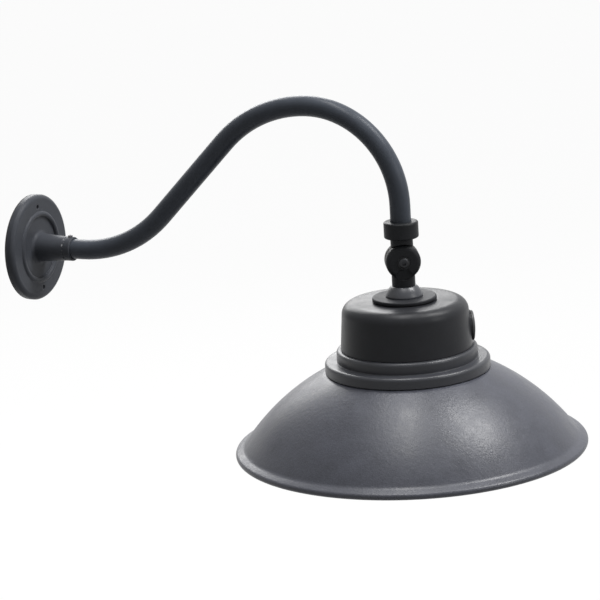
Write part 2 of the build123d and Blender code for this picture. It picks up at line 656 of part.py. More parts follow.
with BuildPart() as cap_gasket:
    with BuildSketch(HEAD_TOP.offset(housing_top_z)):
        Circle(CAP_PAD_D / 2)
        Circle(STEM_D / 2 + SLIP_GAP, mode=Mode.SUBTRACT)
    extrude(amount=CAP_PAD_T)
label_and_write(cap_gasket, "cap_gasket")

with BuildPart() as stem_washer:
    with BuildSketch(HEAD_TOP.offset(stem_washer_z)):
        Circle(STEM_WASHER_D / 2)
        Circle(STEM_D / 2 + SLIP_GAP, mode=Mode.SUBTRACT)
    extrude(amount=-STEM_WASHER_T)
label_and_write(stem_washer, "stem_washer")

with BuildPart() as stem_nut:
    with BuildSketch(HEAD_TOP.offset(stem_nut_z)):
        RegularPolygon(STEM_NUT_AF / 2, 6, major_radius=False)
        Circle(STEM_D / 2 + THREAD_GAP, mode=Mode.SUBTRACT)
    extrude(amount=-STEM_NUT_T)
label_and_write(stem_nut, "stem_nut")

# ================================================================ housing
eye_z = housing_foot_z + EYE_HEIGHT
top_r = HOUSING_TOP_D / 2
foot_r = HOUSING_FOOT_D / 2
post_angle = 360 / POST_COUNT / 2
with BuildPart() as housing:
    with BuildSketch(HEAD_SIDE) as housing_outline:
        with BuildLine():
            Polyline(
                (0, housing_top_z),
                (top_r, housing_top_z),
                (foot_r, housing_foot_z),
                (0, housing_foot_z),
                (0, housing_top_z),
            )
        make_face()
        shoulder = housing_outline.vertices().sort_by_distance((top_r, housing_top_z))[0]
        fillet(shoulder, SHOULDER_R)
    revolve(axis=HEAD_AXIS)
    # flat pad for the photocell, raised above the shoulder and sunk below it
    with BuildSketch(HEAD_OUT.offset(EYE_PAD_IN)):
        with Locations((0, eye_z)):
            Circle(EYE_PAD_D / 2)
    extrude(amount=EYE_PAD_OUT - EYE_PAD_IN)
    with BuildSketch(HEAD_OUT.offset(EYE_PAD_OUT)):
        with Locations((0, eye_z)):
            Circle(EYE_PAD_D / 2)
    extrude(amount=foot_r - EYE_PAD_IN, mode=Mode.SUBTRACT)
    with BuildSketch(HEAD_SIDE) as housing_inside:
        with BuildLine():
            Polyline(
                (0, housing_top_z - HOUSING_WALL),
                (top_r - HOUSING_WALL, housing_top_z - HOUSING_WALL),
                (foot_r - HOUSING_WALL, housing_foot_z),
                (0, housing_foot_z),
                (0, housing_top_z - HOUSING_WALL),
            )
        make_face()
        inner_corner = (top_r - HOUSING_WALL, housing_top_z - HOUSING_WALL)
        corner = housing_inside.vertices().sort_by_distance(inner_corner)[0]
        fillet(corner, SHOULDER_R - HOUSING_WALL)
    revolve(axis=HEAD_AXIS, mode=Mode.SUBTRACT)
    # screw posts, hung from the roof
    with BuildSketch(HEAD_TOP.offset(housing_foot_z)):
        with PolarLocations(post_radius, POST_COUNT, start_angle=post_angle):
            Circle(POST_D / 2)
    extrude(amount=HOUSING_H - HOUSING_WALL)
    with BuildSketch(HEAD_TOP.offset(housing_foot_z)):
        with PolarLocations(post_radius, POST_COUNT, start_angle=post_angle):
            Circle(HOUSING_SCREW_D / 2 + THREAD_GAP)
    extrude(amount=HOUSING_SCREW_BITE + TAPPED_RUNOUT, mode=Mode.SUBTRACT)
    # inner flat for the photocell's nut
    with BuildSketch(HEAD_OUT.offset(EYE_PAD_IN)):
        with Locations((0, eye_z)):
            Circle(EYE_INNER_PAD_D / 2)
    extrude(amount=EYE_PAD_OUT - EYE_PAD_IN)
    with BuildSketch(HEAD_OUT.offset(EYE_PAD_IN)):
        with Locations((0, eye_z)):
            Circle(EYE_STEM_D / 2 + SLIP_GAP)
    extrude(amount=EYE_PAD_OUT - EYE_PAD_IN, mode=Mode.SUBTRACT)
    with BuildSketch(HEAD_TOP.offset(housing_top_z)):
        Circle(STEM_D / 2 + SLIP_GAP)
    extrude(amount=-HOUSING_WALL, mode=Mode.SUBTRACT)
label_and_write(housing, "housing")

# ================================================================ photocell
eye_flange_in = EYE_PAD_OUT + EYE_GASKET_T
eye_flange_out = eye_flange_in + EYE_FLANGE_T
eye_stem_in = EYE_PAD_IN - EYE_NUT_T - EYE_STEM_TAIL
with BuildPart() as photocell_gasket:
    with BuildSketch(HEAD_OUT.offset(EYE_PAD_OUT)):
        with Locations((0, eye_z)):
            Circle(EYE_GASKET_D / 2)
            Circle(EYE_STEM_D / 2 + SLIP_GAP, mode=Mode.SUBTRACT)
    extrude(amount=EYE_GASKET_T)
label_and_write(photocell_gasket, "photocell_gasket")

with BuildPart() as photocell_body:
    with BuildSketch(HEAD_OUT.offset(eye_flange_in)):
        with Locations((0, eye_z)):
            Circle(EYE_FLANGE_D / 2)
    extrude(amount=EYE_FLANGE_T)
    outer_edge = photocell_body.edges().sort_by(Axis((reach, 0, 0), out_dir))[-1]
    fillet(outer_edge, EYE_FLANGE_EDGE_R)
    with BuildSketch(HEAD_OUT.offset(eye_flange_out)):
        with Locations((0, eye_z)):
            Circle(EYE_WINDOW_D / 2 + SLIP_GAP)
    extrude(amount=-EYE_WINDOW_SEAT, mode=Mode.SUBTRACT)
    with BuildSketch(HEAD_OUT.offset(eye_stem_in)):
        with Locations((0, eye_z)):
            Circle(EYE_STEM_D / 2)
    extrude(amount=eye_flange_in - eye_stem_in)
label_and_write(photocell_body, "photocell_body")

with BuildPart() as photocell_window:
    with BuildSketch(HEAD_OUT.offset(eye_flange_out - EYE_WINDOW_SEAT)):
        with Locations((0, eye_z)):
            Circle(EYE_WINDOW_D / 2)
    extrude(amount=EYE_WINDOW_SEAT + EYE_WINDOW_PROUD)
    window_edge = photocell_window.edges().sort_by(Axis((reach, 0, 0), out_dir))[-1]
    fillet(window_edge, EYE_WINDOW_PROUD)
label_and_write(photocell_window, "photocell_window")

with BuildPart() as photocell_nut:
    with BuildSketch(HEAD_OUT.offset(EYE_PAD_IN)):
        with Locations((0, eye_z)):
            RegularPolygon(EYE_NUT_AF / 2, 6, major_radius=False)
            Circle(EYE_STEM_D / 2 + THREAD_GAP, mode=Mode.SUBTRACT)
    extrude(amount=-EYE_NUT_T)
label_and_write(photocell_nut, "photocell_nut")

# ================================================================ stepped base
spigot_r = foot_r - HOUSING_WALL - SLIP_GAP - BASE_SPIGOT_H * (foot_r - top_r) / HOUSING_H
hollow_r = BASE_HOLLOW_D / 2
driver_post_x = DRIVER_LENGTH / 2 + DRIVER_EAR / 2
with BuildPart() as stepped_base:
    with BuildSketch(HEAD_SIDE) as base_outline:
        with BuildLine():
            Polyline(
                (0, housing_foot_z),
                (STEP_1_D / 2, housing_foot_z),
                (STEP_1_D / 2, step_2_top_z),
                (STEP_2_D / 2, step_2_top_z),
                (STEP_2_D / 2, base_foot_z),
                (LAMP_SEAT_D / 2, base_foot_z),
                (LAMP_SEAT_D / 2, lamp_seat_z),
                (0, lamp_seat_z),
                (0, housing_foot_z),
            )
        make_face()
        step_corners = [
            base_outline.vertices().sort_by_distance((STEP_1_D / 2, housing_foot_z))[0],
            base_outline.vertices().sort_by_distance((STEP_2_D / 2, step_2_top_z))[0],
        ]
        fillet(step_corners, STEP_EDGE_R)
    revolve(axis=HEAD_AXIS)
    with BuildSketch(HEAD_TOP.offset(base_floor_z)):
        Circle(hollow_r)
    extrude(amount=housing_foot_z - base_floor_z, mode=Mode.SUBTRACT)
    # spigot that centres the housing
    with BuildSketch(HEAD_TOP.offset(base_floor_z)):
        Circle(spigot_r)
        Circle(spigot_r - BASE_SPIGOT_T, mode=Mode.SUBTRACT)
    extrude(amount=housing_foot_z - base_floor_z + BASE_SPIGOT_H)
    # cooling fins, and posts for the housing screws and the driver
    with BuildSketch(HEAD_TOP.offset(base_floor_z)):
        with PolarLocations((FIN_INNER_R + hollow_r) / 2, FIN_COUNT):
            Rectangle(hollow_r - FIN_INNER_R, FIN_T)
    extrude(amount=fin_top_z - base_floor_z)
    with BuildSketch(HEAD_TOP.offset(base_floor_z)):
        with PolarLocations(post_radius, POST_COUNT, start_angle=post_angle):
            Circle(POST_D / 2)
    extrude(amount=housing_foot_z - base_floor_z)
    with BuildSketch(HEAD_TOP.offset(base_floor_z)):
        with Locations((0, driver_post_x), (0, -driver_post_x)):
            Circle(DRIVER_POST_D / 2)
    extrude(amount=fin_top_z - base_floor_z)
    with BuildSketch(HEAD_TOP.offset(lamp_seat_z)):
        with PolarLocations(post_radius, POST_COUNT, start_angle=post_angle):
            Circle(HOUSING_SCREW_D / 2 + SCREW_HOLE_GAP)
        Circle(LEAD_HOLE_D / 2)
    extrude(amount=housing_foot_z - lamp_seat_z, mode=Mode.SUBTRACT)
    with BuildSketch(HEAD_TOP.offset(fin_top_z)):
        with Locations((0, driver_post_x), (0, -driver_post_x)):
            Circle(DRIVER_SCREW_D / 2 + THREAD_GAP)
    extrude(amount=-DRIVER_SCREW_BITE - TAPPED_RUNOUT, mode=Mode.SUBTRACT)
    with BuildSketch(HEAD_TOP.offset(lamp_seat_z)):
        with PolarLocations(board_screw_radius, BOARD_SCREW_COUNT):
            Circle(BOARD_SCREW_D / 2 + THREAD_GAP)
    extrude(amount=BOARD_SCREW_BITE + TAPPED_RUNOUT, mode=Mode.SUBTRACT)
    with BuildSketch(HEAD_TOP.offset(base_foot_z)):
        with PolarLocations(ring_screw_radius, RING_SCREW_COUNT):
            Circle(RING_SCREW_D / 2 + THREAD_GAP)
    extrude(amount=RING_SCREW_BITE + TAPPED_RUNOUT, mode=Mode.SUBTRACT)
label_and_write(stepped_base, "stepped_base")


def screw_group(centres_radius, count, start, seat_z, shank_d, shank_up, head_d, head_t):
    """Screws in a ring that point up, with their heads under seat_z and a slot in each head."""
    with BuildPart() as screws:
        with BuildSketch(HEAD_TOP.offset(seat_z)):
            with PolarLocations(centres_radius, count, start_angle=start):
                Circle(shank_d / 2)
        extrude(amount=shank_up)
        with BuildSketch(HEAD_TOP.offset(seat_z)):
            with PolarLocations(centres_radius, count, start_angle=start):
                Circle(head_d / 2)
        extrude(amount=-head_t)
        with BuildSketch(HEAD_TOP.offset(seat_z - head_t)):
            with PolarLocations(centres_radius, count, start_angle=start):
                Rectangle(head_d, head_d / 6)
        extrude(amount=head_t / 2, mode=Mode.SUBTRACT)
    return screws


housing_screws = screw_group(
    post_radius,
    POST_COUNT,
    post_angle,
    lamp_seat_z,
    HOUSING_SCREW_D,
    housing_foot_z - lamp_seat_z + HOUSING_SCREW_BITE,
    HOUSING_HEAD_D,
    HOUSING_HEAD_T,
)
label_and_write(housing_screws, "housing_screws")

# ================================================================ driver
lid_z = fin_top_z + DRIVER_HEIGHT - DRIVER_LID_T
with BuildPart() as driver_case:
    with BuildSketch(HEAD_TOP.offset(fin_top_z)):
        Rectangle(DRIVER_WIDTH, DRIVER_LENGTH)
    extrude(amount=DRIVER_HEIGHT - DRIVER_LID_T)
    fillet(driver_case.edges().filter_by(Axis.Z), DRIVER_EDGE_R)
    with BuildSketch(HEAD_TOP.offset(fin_top_z + DRIVER_WALL)):
        RectangleRounded(
            DRIVER_WIDTH - 2 * DRIVER_WALL,
            DRIVER_LENGTH - 2 * DRIVER_WALL,
            DRIVER_EDGE_R - DRIVER_WALL,
        )
    extrude(amount=DRIVER_HEIGHT, mode=Mode.SUBTRACT)
    with BuildSketch(HEAD_TOP.offset(fin_top_z)):
        with Locations((0, driver_post_x), (0, -driver_post_x)):
            Rectangle(DRIVER_EAR_WIDTH, DRIVER_EAR)
    extrude(amount=DRIVER_EAR_T)
    with BuildSketch(HEAD_TOP.offset(fin_top_z)):
        with Locations((0, driver_post_x), (0, -driver_post_x)):
            Circle(DRIVER_SCREW_D / 2 + SCREW_HOLE_GAP)
    extrude(amount=DRIVER_EAR_T, mode=Mode.SUBTRACT)
label_and_write(driver_case, "driver_case")

with BuildPart() as driver_lid:
    with BuildSketch(HEAD_TOP.offset(lid_z)):
        RectangleRounded(DRIVER_WIDTH, DRIVER_LENGTH, DRIVER_EDGE_R)
    extrude(amount=DRIVER_LID_T)
label_and_write(driver_lid, "driver_lid")

driver_head_z = fin_top_z + DRIVER_EAR_T
with BuildPart() as driver_screws:
    with BuildSketch(HEAD_TOP.offset(driver_head_z)):
        with Locations((0, driver_post_x), (0, -driver_post_x)):
            Circle(DRIVER_SCREW_D / 2)
    extrude(amount=-DRIVER_EAR_T - DRIVER_SCREW_BITE)
    with BuildSketch(HEAD_TOP.offset(driver_head_z)):
        with Locations((0, driver_post_x), (0, -driver_post_x)):
            Circle(DRIVER_HEAD_D / 2)
    extrude(amount=DRIVER_HEAD_T)
label_and_write(driver_screws, "driver_screws")

# ================================================================ shade and its gasket
shoulder_r = STEP_2_D / 2
slope_top = radians(SHADE_TOP_ANGLE)
slope_end = radians(SHADE_END_ANGLE)
slope_lip = radians(LIP_ANGLE)
lip_reach = (
    LIP_FILLET_R * (sin(slope_end) - sin(slope_lip))
    + LIP_LENGTH * cos(slope_lip)
    + BEAD_R * (1 - sin(slope_lip))
)
dome_r = (SHADE_D / 2 - lip_reach - shoulder_r) / (sin(slope_end) - sin(slope_top))

with BuildPart() as shade_gasket:
    with BuildSketch(HEAD_TOP.offset(shade_top_z)):
        Circle(SHADE_GASKET_D / 2)
        Circle(shade_hole_r, mode=Mode.SUBTRACT)
        with PolarLocations(ring_screw_radius, RING_SCREW_COUNT):
            Circle(RING_SCREW_D / 2 + SCREW_HOLE_GAP, mode=Mode.SUBTRACT)
    extrude(amount=SHADE_GASKET_T)
label_and_write(shade_gasket, "shade_gasket")

with BuildPart() as shade:
    with BuildSketch(HEAD_SIDE):
        with BuildLine() as shade_skin:
            flat_top = Line((shade_hole_r, shade_top_z), (shoulder_r, shade_top_z))
            dome = JernArc(
                start=flat_top @ 1,
                tangent=heading(-SHADE_TOP_ANGLE),
                radius=dome_r,
                arc_size=SHADE_TOP_ANGLE - SHADE_END_ANGLE,
            )
            flare = JernArc(
                start=dome @ 1,
                tangent=heading(-SHADE_END_ANGLE),
                radius=LIP_FILLET_R,
                arc_size=SHADE_END_ANGLE - LIP_ANGLE,
            )
            lip = PolarLine(flare @ 1, LIP_LENGTH, -LIP_ANGLE)
            JernArc(
                start=lip @ 1,
                tangent=heading(-LIP_ANGLE),
                radius=BEAD_R,
                arc_size=-BEAD_ANGLE,
            )
            offset(amount=SHADE_T, side=Side.RIGHT)
        make_face()
    revolve(axis=HEAD_AXIS)
    with BuildSketch(HEAD_TOP.offset(shade_top_z)):
        with PolarLocations(ring_screw_radius, RING_SCREW_COUNT):
            Circle(RING_SCREW_D / 2 + SCREW_HOLE_GAP)
    extrude(amount=-SHADE_T, mode=Mode.SUBTRACT)
label_and_write(shade, "shade")

# ================================================================ lamp board
with BuildPart() as lamp_board:
    with BuildSketch(HEAD_TOP.offset(lamp_seat_z)):
        Circle(board_r)
        Circle(LEAD_HOLE_D / 2, mode=Mode.SUBTRACT)
        with PolarLocations(board_screw_radius, BOARD_SCREW_COUNT):
            Circle(BOARD_SCREW_D / 2 + SCREW_HOLE_GAP, mode=Mode.SUBTRACT)
    extrude(amount=-BOARD_T)
label_and_write(lamp_board, "lamp_board")

board_face_z = lamp_seat_z - BOARD_T
with BuildPart() as lamp_chips:
    with BuildSketch(HEAD_TOP.offset(board_face_z)):
        for ring in range(CHIP_RING_COUNT):
            ring_radius = board_r - CHIP_RING_INSET - CHIP_RING_PITCH * (CHIP_RING_COUNT - 1 - ring)
            chip_count = CHIPS_PER_RING * (ring + 1)
            with PolarLocations(ring_radius, chip_count, start_angle=180 / chip_count):
                Rectangle(CHIP_SIZE, CHIP_SIZE)
    extrude(amount=-CHIP_T)
label_and_write(lamp_chips, "lamp_chips")

board_screws = screw_group(
    board_screw_radius,
    BOARD_SCREW_COUNT,
    0,
    board_face_z,
    BOARD_SCREW_D,
    BOARD_T + BOARD_SCREW_BITE,
    BOARD_HEAD_D,
    BOARD_HEAD_T,
)
label_and_write(board_screws, "board_screws")

# ================================================================ lens, lens gasket and ring
lens_foot_z = lens_top_z - LENS_DEPTH
with BuildPart() as lens:
    with BuildSketch(HEAD_SIDE) as lens_profile:
        with BuildLine():
            Polyline(
                (0, lens_foot_z),
                (body_r, lens_foot_z),
                (body_r, lens_flange_z),
                (lens_r, lens_flange_z),
                (lens_r, lens_top_z),
                (body_r - LENS_WALL, lens_top_z),
                (body_r - LENS_WALL, lens_foot_z + LENS_WALL),
                (0, lens_foot_z + LENS_WALL),
                (0, lens_foot_z),
            )
        make_face()
        fillet(
            lens_profile.vertices().sort_by_distance((body_r, lens_foot_z))[0],
            LENS_EDGE_R,
        )
        inner_edge = (body_r - LENS_WALL, lens_foot_z + LENS_WALL)
        fillet(
            lens_profile.vertices().sort_by_distance(inner_edge)[0],
            LENS_EDGE_R - LENS_WALL,
        )
    revolve(axis=HEAD_AXIS)
label_and_write(lens, "lens")

with BuildPart() as lens_gasket:
    with BuildSketch(HEAD_TOP.offset(lens_top_z)):
        Circle(lens_r)
        Circle(lens_r - LENS_GASKET_WIDTH, mode=Mode.SUBTRACT)
    extrude(amount=LENS_GASKET_T)
label_and_write(lens_gasket, "lens_gasket")

with BuildPart() as lens_ring:
    with BuildSketch(HEAD_TOP.offset(ring_foot_z)):
        Circle(ring_r)
    extrude(amount=shade_under_z - ring_foot_z)
    fillet(lens_ring.edges().group_by(Axis.Z)[0], RING_EDGE_R)
    with BuildSketch(HEAD_TOP.offset(ring_foot_z)):
        Circle(body_r + SLIP_GAP)
    extrude(amount=RING_LIP_T, mode=Mode.SUBTRACT)
    with BuildSketch(HEAD_TOP.offset(ring_foot_z + RING_LIP_T)):
        Circle(shade_hole_r)
    extrude(amount=shade_under_z - ring_foot_z, mode=Mode.SUBTRACT)
    with BuildSketch(HEAD_TOP.offset(ring_foot_z)):
        with PolarLocations(ring_screw_radius, RING_SCREW_COUNT):
            Circle(RING_SCREW_D / 2 + SCREW_HOLE_GAP)
    extrude(amount=shade_under_z - ring_foot_z, mode=Mode.SUBTRACT)
label_and_write(lens_ring, "lens_ring")

ring_screws = screw_group(
    ring_screw_radius,
    RING_SCREW_COUNT,
    0,
    ring_foot_z,
    RING_SCREW_D,
    base_foot_z - ring_foot_z + RING_SCREW_BITE,
    RING_HEAD_D,
    RING_HEAD_T,
)
label_and_write(ring_screws, "ring_screws")

print(f"head axis at x {reach:.3f}, tilt axis at z {knuckle_z:.3f}, dome radius {dome_r:.1f}")
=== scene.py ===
"""Finishes a gooseneck wall light: powder coats, worn edges, the spun shade, screws and the lamp.

Lengths are in metres. The origin is the centre of the wall plate's back, +X points out of the wall
and +Z points up. The head hangs from the arm's end on an upright axis.
"""

import json
from math import atan2, cos, pi, radians, sin, tau
from typing import NamedTuple

import bmesh
import bpy
from mathutils import Matrix, Vector


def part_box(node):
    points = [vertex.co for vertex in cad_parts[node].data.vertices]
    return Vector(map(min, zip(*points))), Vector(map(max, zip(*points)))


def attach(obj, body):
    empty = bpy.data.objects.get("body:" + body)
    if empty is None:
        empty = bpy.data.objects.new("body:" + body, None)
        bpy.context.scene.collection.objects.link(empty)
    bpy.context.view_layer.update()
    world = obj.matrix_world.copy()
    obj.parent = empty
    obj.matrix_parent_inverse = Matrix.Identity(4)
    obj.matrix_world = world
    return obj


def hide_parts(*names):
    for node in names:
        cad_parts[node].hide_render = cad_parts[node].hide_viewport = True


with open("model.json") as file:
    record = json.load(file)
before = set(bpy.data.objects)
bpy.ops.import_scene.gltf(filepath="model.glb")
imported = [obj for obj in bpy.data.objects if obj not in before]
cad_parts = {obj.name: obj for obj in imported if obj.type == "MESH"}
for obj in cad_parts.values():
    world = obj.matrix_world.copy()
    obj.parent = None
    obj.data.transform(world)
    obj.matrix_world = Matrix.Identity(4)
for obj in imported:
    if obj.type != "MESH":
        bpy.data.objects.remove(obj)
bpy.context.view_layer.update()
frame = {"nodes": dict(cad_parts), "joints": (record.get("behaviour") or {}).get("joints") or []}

bl_info = {
    "name": "Gooseneck Wall Light",
    "version": (1, 0, 0),
    "blender": (4, 5, 0),
    "location": "3D View > Sidebar > Wall Light",
    "description": "Coats, spins and fits the pieces of a gooseneck wall light",
    "category": "Add Mesh",
}

# ---------------------------------------------------------------- places, taken from the frame
TILT_JOINT = next(joint for joint in frame["joints"] if joint["name"] == "head_tilt")
HEAD_AXIS = Vector((TILT_JOINT["pos_m"][0], TILT_JOINT["pos_m"][1], 0))
PIN = Vector(TILT_JOINT["axis"])                 # along the pivot bolt, towards its head
OUT = Vector((0, 0, 1)).cross(PIN)               # level, the way the head faces
HEAD_PLACE = Matrix.Translation(HEAD_AXIS) @ Matrix.Rotation(atan2(OUT.y, OUT.x), 4, "Z")
SHADE_LOW, SHADE_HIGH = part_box("shade")
BASE_LOW, BASE_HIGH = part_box("stepped_base")
GASKET_LOW, GASKET_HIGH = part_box("lens_gasket")
GROOVE_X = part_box("wall_plate")[1].x - 0.0085    # the groove behind the boss's lip
SEAT_PAST_GASKET = 0.0005                        # the lamp's seat, past the lens gasket's radius


# ================================================================ sizes and colours to change
class CoatSettings(bpy.types.PropertyGroup):
    """Colours and texture of the painted pieces. The dark pieces share one coat; their colours differ
    partly as painted light and shade, lighter where a piece catches light and darker where it lies in
    shade.
    """

    plate_colour: bpy.props.FloatVectorProperty(
        name="Wall Plate", description="Coat of the wall plate",
        default=(0.058, 0.062, 0.072), size=3, min=0, max=1, subtype="COLOR")
    arm_colour: bpy.props.FloatVectorProperty(
        name="Arm", description="Coat of the bent tube",
        default=(0.060, 0.068, 0.083), size=3, min=0, max=1, subtype="COLOR")
    swivel_colour: bpy.props.FloatVectorProperty(
        name="Swivel", description="Coat of the collar and the knuckle",
        default=(0.016, 0.017, 0.019), size=3, min=0, max=1, subtype="COLOR")
    # Lighter than the swivel's colour; the extra lightness is a painted highlight on the cone.
    cone_colour_and_painted_highlight: bpy.props.FloatVectorProperty(
        name="Cone", description="Coat of the cone above the housing",
        default=(0.058, 0.061, 0.070), size=3, min=0, max=1, subtype="COLOR")
    housing_colour: bpy.props.FloatVectorProperty(
        name="Housing", description="Coat of the housing and its cap",
        default=(0.022, 0.023, 0.026), size=3, min=0, max=1, subtype="COLOR")
    # Lighter than the housing's colour though both wear one coat; the extra lightness is a painted
    # highlight on the steps' rounded edges.
    base_colour_and_painted_highlight: bpy.props.FloatVectorProperty(
        name="Stepped Base", description="Coat of the two steps under the housing",
        default=(0.040, 0.042, 0.049), size=3, min=0, max=1, subtype="COLOR")
    shade_colour: bpy.props.FloatVectorProperty(
        name="Shade", description="Coat of the shade's outside",
        default=(0.060, 0.063, 0.079), size=3, min=0, max=1, subtype="COLOR")
    inside_colour: bpy.props.FloatVectorProperty(
        name="Inside", description="White coat under the shade",
        default=(0.80, 0.81, 0.80), size=3, min=0, max=1, subtype="COLOR")
    grain_size: bpy.props.FloatProperty(
        name="Grain Size", description="Width of one bump of the powder coat",
        default=0.0011, min=0.0002, max=0.01, unit="LENGTH", precision=4)
    grain_height: bpy.props.FloatProperty(
        name="Grain Height", description="Height of one bump of the powder coat",
        default=0.00010, min=0, max=0.002, unit="LENGTH", precision=5)
    mottle_size: bpy.props.FloatProperty(
        name="Mottle Size", description="Width of the cloudy patches in the coat",
        default=0.022, min=0.001, max=0.2, unit="LENGTH", precision=3)
    # The pale band along edges is partly wear and partly a painted highlight.
    wear_and_highlight_width: bpy.props.FloatProperty(
        name="Wear And Highlight Width", description="Width of the polished band along edges",
        default=0.0012, min=0.0001, max=0.01, unit="LENGTH", precision=4)


class ShadeSettings(bpy.types.PropertyGroup):
    """Sizes of the spun shade."""

    sheet: bpy.props.FloatProperty(
        name="Sheet", description="Thickness of the spun sheet",
        default=0.0015, min=0.0005, max=0.005, unit="LENGTH", precision=4)
    top_slope: bpy.props.FloatProperty(
        name="Top Slope", description="Fall of the dome where it starts",
        default=radians(26.2), min=0, max=radians(60), subtype="ANGLE")
    end_slope: bpy.props.FloatProperty(
        name="End Slope", description="Fall of the dome where it ends",
        default=radians(54), min=radians(20), max=radians(85), subtype="ANGLE")
    lip_slope: bpy.props.FloatProperty(
        name="Lip Slope", description="Fall of the flared lip",
        default=radians(24), min=0, max=radians(60), subtype="ANGLE")
    lip_length: bpy.props.FloatProperty(
        name="Lip Length", description="Straight part of the flared lip",
        default=0.0055, min=0.001, max=0.03, unit="LENGTH", precision=4)
    flare_radius: bpy.props.FloatProperty(
        name="Flare Radius", description="Bend between the dome and the lip",
        default=0.009, min=0.002, max=0.04, unit="LENGTH", precision=4)
    bead_radius: bpy.props.FloatProperty(
        name="Bead Radius", description="Rolled rim, outside",
        default=0.0035, min=0.002, max=0.01, unit="LENGTH", precision=4)
    bead_turn: bpy.props.FloatProperty(
        name="Bead Turn", description="How far the rim is rolled round",
        default=radians(250), min=radians(90), max=radians(300), subtype="ANGLE")
    hole_gap: bpy.props.FloatProperty(
        name="Hole Gap", description="Room between the shade's hole and the lamp seat",
        default=0.00015, min=0, max=0.002, unit="LENGTH", precision=5)
    turn_steps: bpy.props.IntProperty(
        name="Turn Steps", description="Faces round the shade", default=240, min=24, max=720)


class FastenerSettings(bpy.types.PropertyGroup):
    """Sizes of the slotted screws and the lamp's chips."""

    crown_share: bpy.props.FloatProperty(
        name="Head Crown", description="Share of a head's height that is domed",
        default=0.6, min=0.1, max=0.9)
    slot_share: bpy.props.FloatProperty(
        name="Slot Width", description="Slot's width, as a share of the head's",
        default=0.17, min=0.05, max=0.4)
    thread_pitch: bpy.props.FloatProperty(
        name="Thread Pitch", description="Height of one thread", default=0.0007, min=0.0002,
        max=0.003, unit="LENGTH", precision=4)
    thread_depth: bpy.props.FloatProperty(
        name="Thread Depth", description="Depth of one thread", default=0.0003, min=0.00005,
        max=0.002, unit="LENGTH", precision=5)
    chip_size: bpy.props.FloatProperty(
        name="Chip Size", description="Side of one chip", default=0.0035, min=0.001, max=0.01,
        unit="LENGTH", precision=4)
    chip_window: bpy.props.FloatProperty(
        name="Chip Window", description="Side of the yellow window in one chip",
        default=0.0027, min=0.0005, max=0.01, unit="LENGTH", precision=4)
    chip_pitch: bpy.props.FloatProperty(
        name="Chip Ring Pitch", description="Between two rings of chips", default=0.011,
        min=0.004, max=0.05, unit="LENGTH", precision=4)


class StageSettings(bpy.types.PropertyGroup):
    """Camera, lamps and floor."""

    azimuth: bpy.props.FloatProperty(
        name="Azimuth", description="Camera's turn round the light, from straight in front",
        default=radians(26.85), subtype="ANGLE")
    elevation: bpy.props.FloatProperty(
        name="Elevation", description="Camera's angle above level",
        default=radians(13.72), subtype="ANGLE")
    roll: bpy.props.FloatProperty(
        name="Roll", description="Camera's lean about its own line of sight",
        default=radians(-3.33), subtype="ANGLE")
    distance: bpy.props.FloatProperty(
        name="Distance", description="Camera to its target", default=3.1203, unit="LENGTH")
    target: bpy.props.FloatVectorProperty(
        name="Target", description="What the camera looks at",
        default=(0.32041, 0, -0.04142), size=3, subtype="TRANSLATION")
    focal_length: bpy.props.FloatProperty(
        name="Focal Length", description="Camera's lens in millimetres", default=180, min=10)
    floor_height: bpy.props.FloatProperty(
        name="Floor", description="Floor's height", default=-0.62, unit="LENGTH")
    floor_size: bpy.props.FloatProperty(
        name="Floor Size", description="Side of the floor", default=60, unit="LENGTH")
    key_power: bpy.props.FloatProperty(
        name="Key Power", description="Softbox high at the picture's right", default=42, min=0)
    top_power: bpy.props.FloatProperty(
        name="Top Power", description="Long softbox overhead", default=33, min=0)
    side_power: bpy.props.FloatProperty(
        name="Side Power", description="Softbox low at the picture's right", default=8, min=0)
    back_power: bpy.props.FloatProperty(
        name="Back Power", description="Softbox behind the light", default=26, min=0)


SETTINGS = {
    "sconce_coat": CoatSettings,
    "sconce_shade": ShadeSettings,
    "sconce_fasteners": FastenerSettings,
    "sconce_stage": StageSettings,
}


# ================================================================ small helpers for node trees
def add_node(tree, kind, inputs=None, **settings):
    """Adds a node, sets its own settings, and feeds each input with a value or another socket."""
    made = tree.nodes.new(kind)
    for name, value in settings.items():
        setattr(made, name, value)
    for name, value in (inputs or {}).items():
        if isinstance(value, bpy.types.NodeSocket):
            tree.links.new(value, made.inputs[name])
        else:
            made.inputs[name].default_value = value
    return made


def calculate(tree, operation, first, second=0.0, clamp=False):
    """Output of one Math node."""
    node = add_node(tree, "ShaderNodeMath", {0: first, 1: second}, operation=operation)
    node.use_clamp = clamp
    return node.outputs[0]


def remap(tree, value, from_low, from_high, to_low, to_high):
    """Output of one Map Range node."""
    node = add_node(tree, "ShaderNodeMapRange", {
        "Value": value, "From Min": from_low, "From Max": from_high,
        "To Min": to_low, "To Max": to_high})
    return node.outputs["Result"]


def blend_colours(tree, mask, first, second):
    """Colour between first, where the mask is 0, and second, where it is 1."""
    node = add_node(tree, "ShaderNodeMix", {"Factor": mask}, data_type="RGBA")
    for name, value in (("A", first), ("B", second)):
        socket = next(s for s in node.inputs if s.name == name and s.type == "RGBA")
        if isinstance(value, bpy.types.NodeSocket):
            tree.links.new(value, socket)
        else:
            socket.default_value = (*value, 1)
    return next(s for s in node.outputs if s.type == "RGBA")


def scale_colour(tree, colour, factor):
    """A colour times a changing number."""
    node = add_node(tree, "ShaderNodeVectorMath", {"Scale": factor}, operation="SCALE")
    node.inputs[0].default_value = colour
    return node.outputs[0]


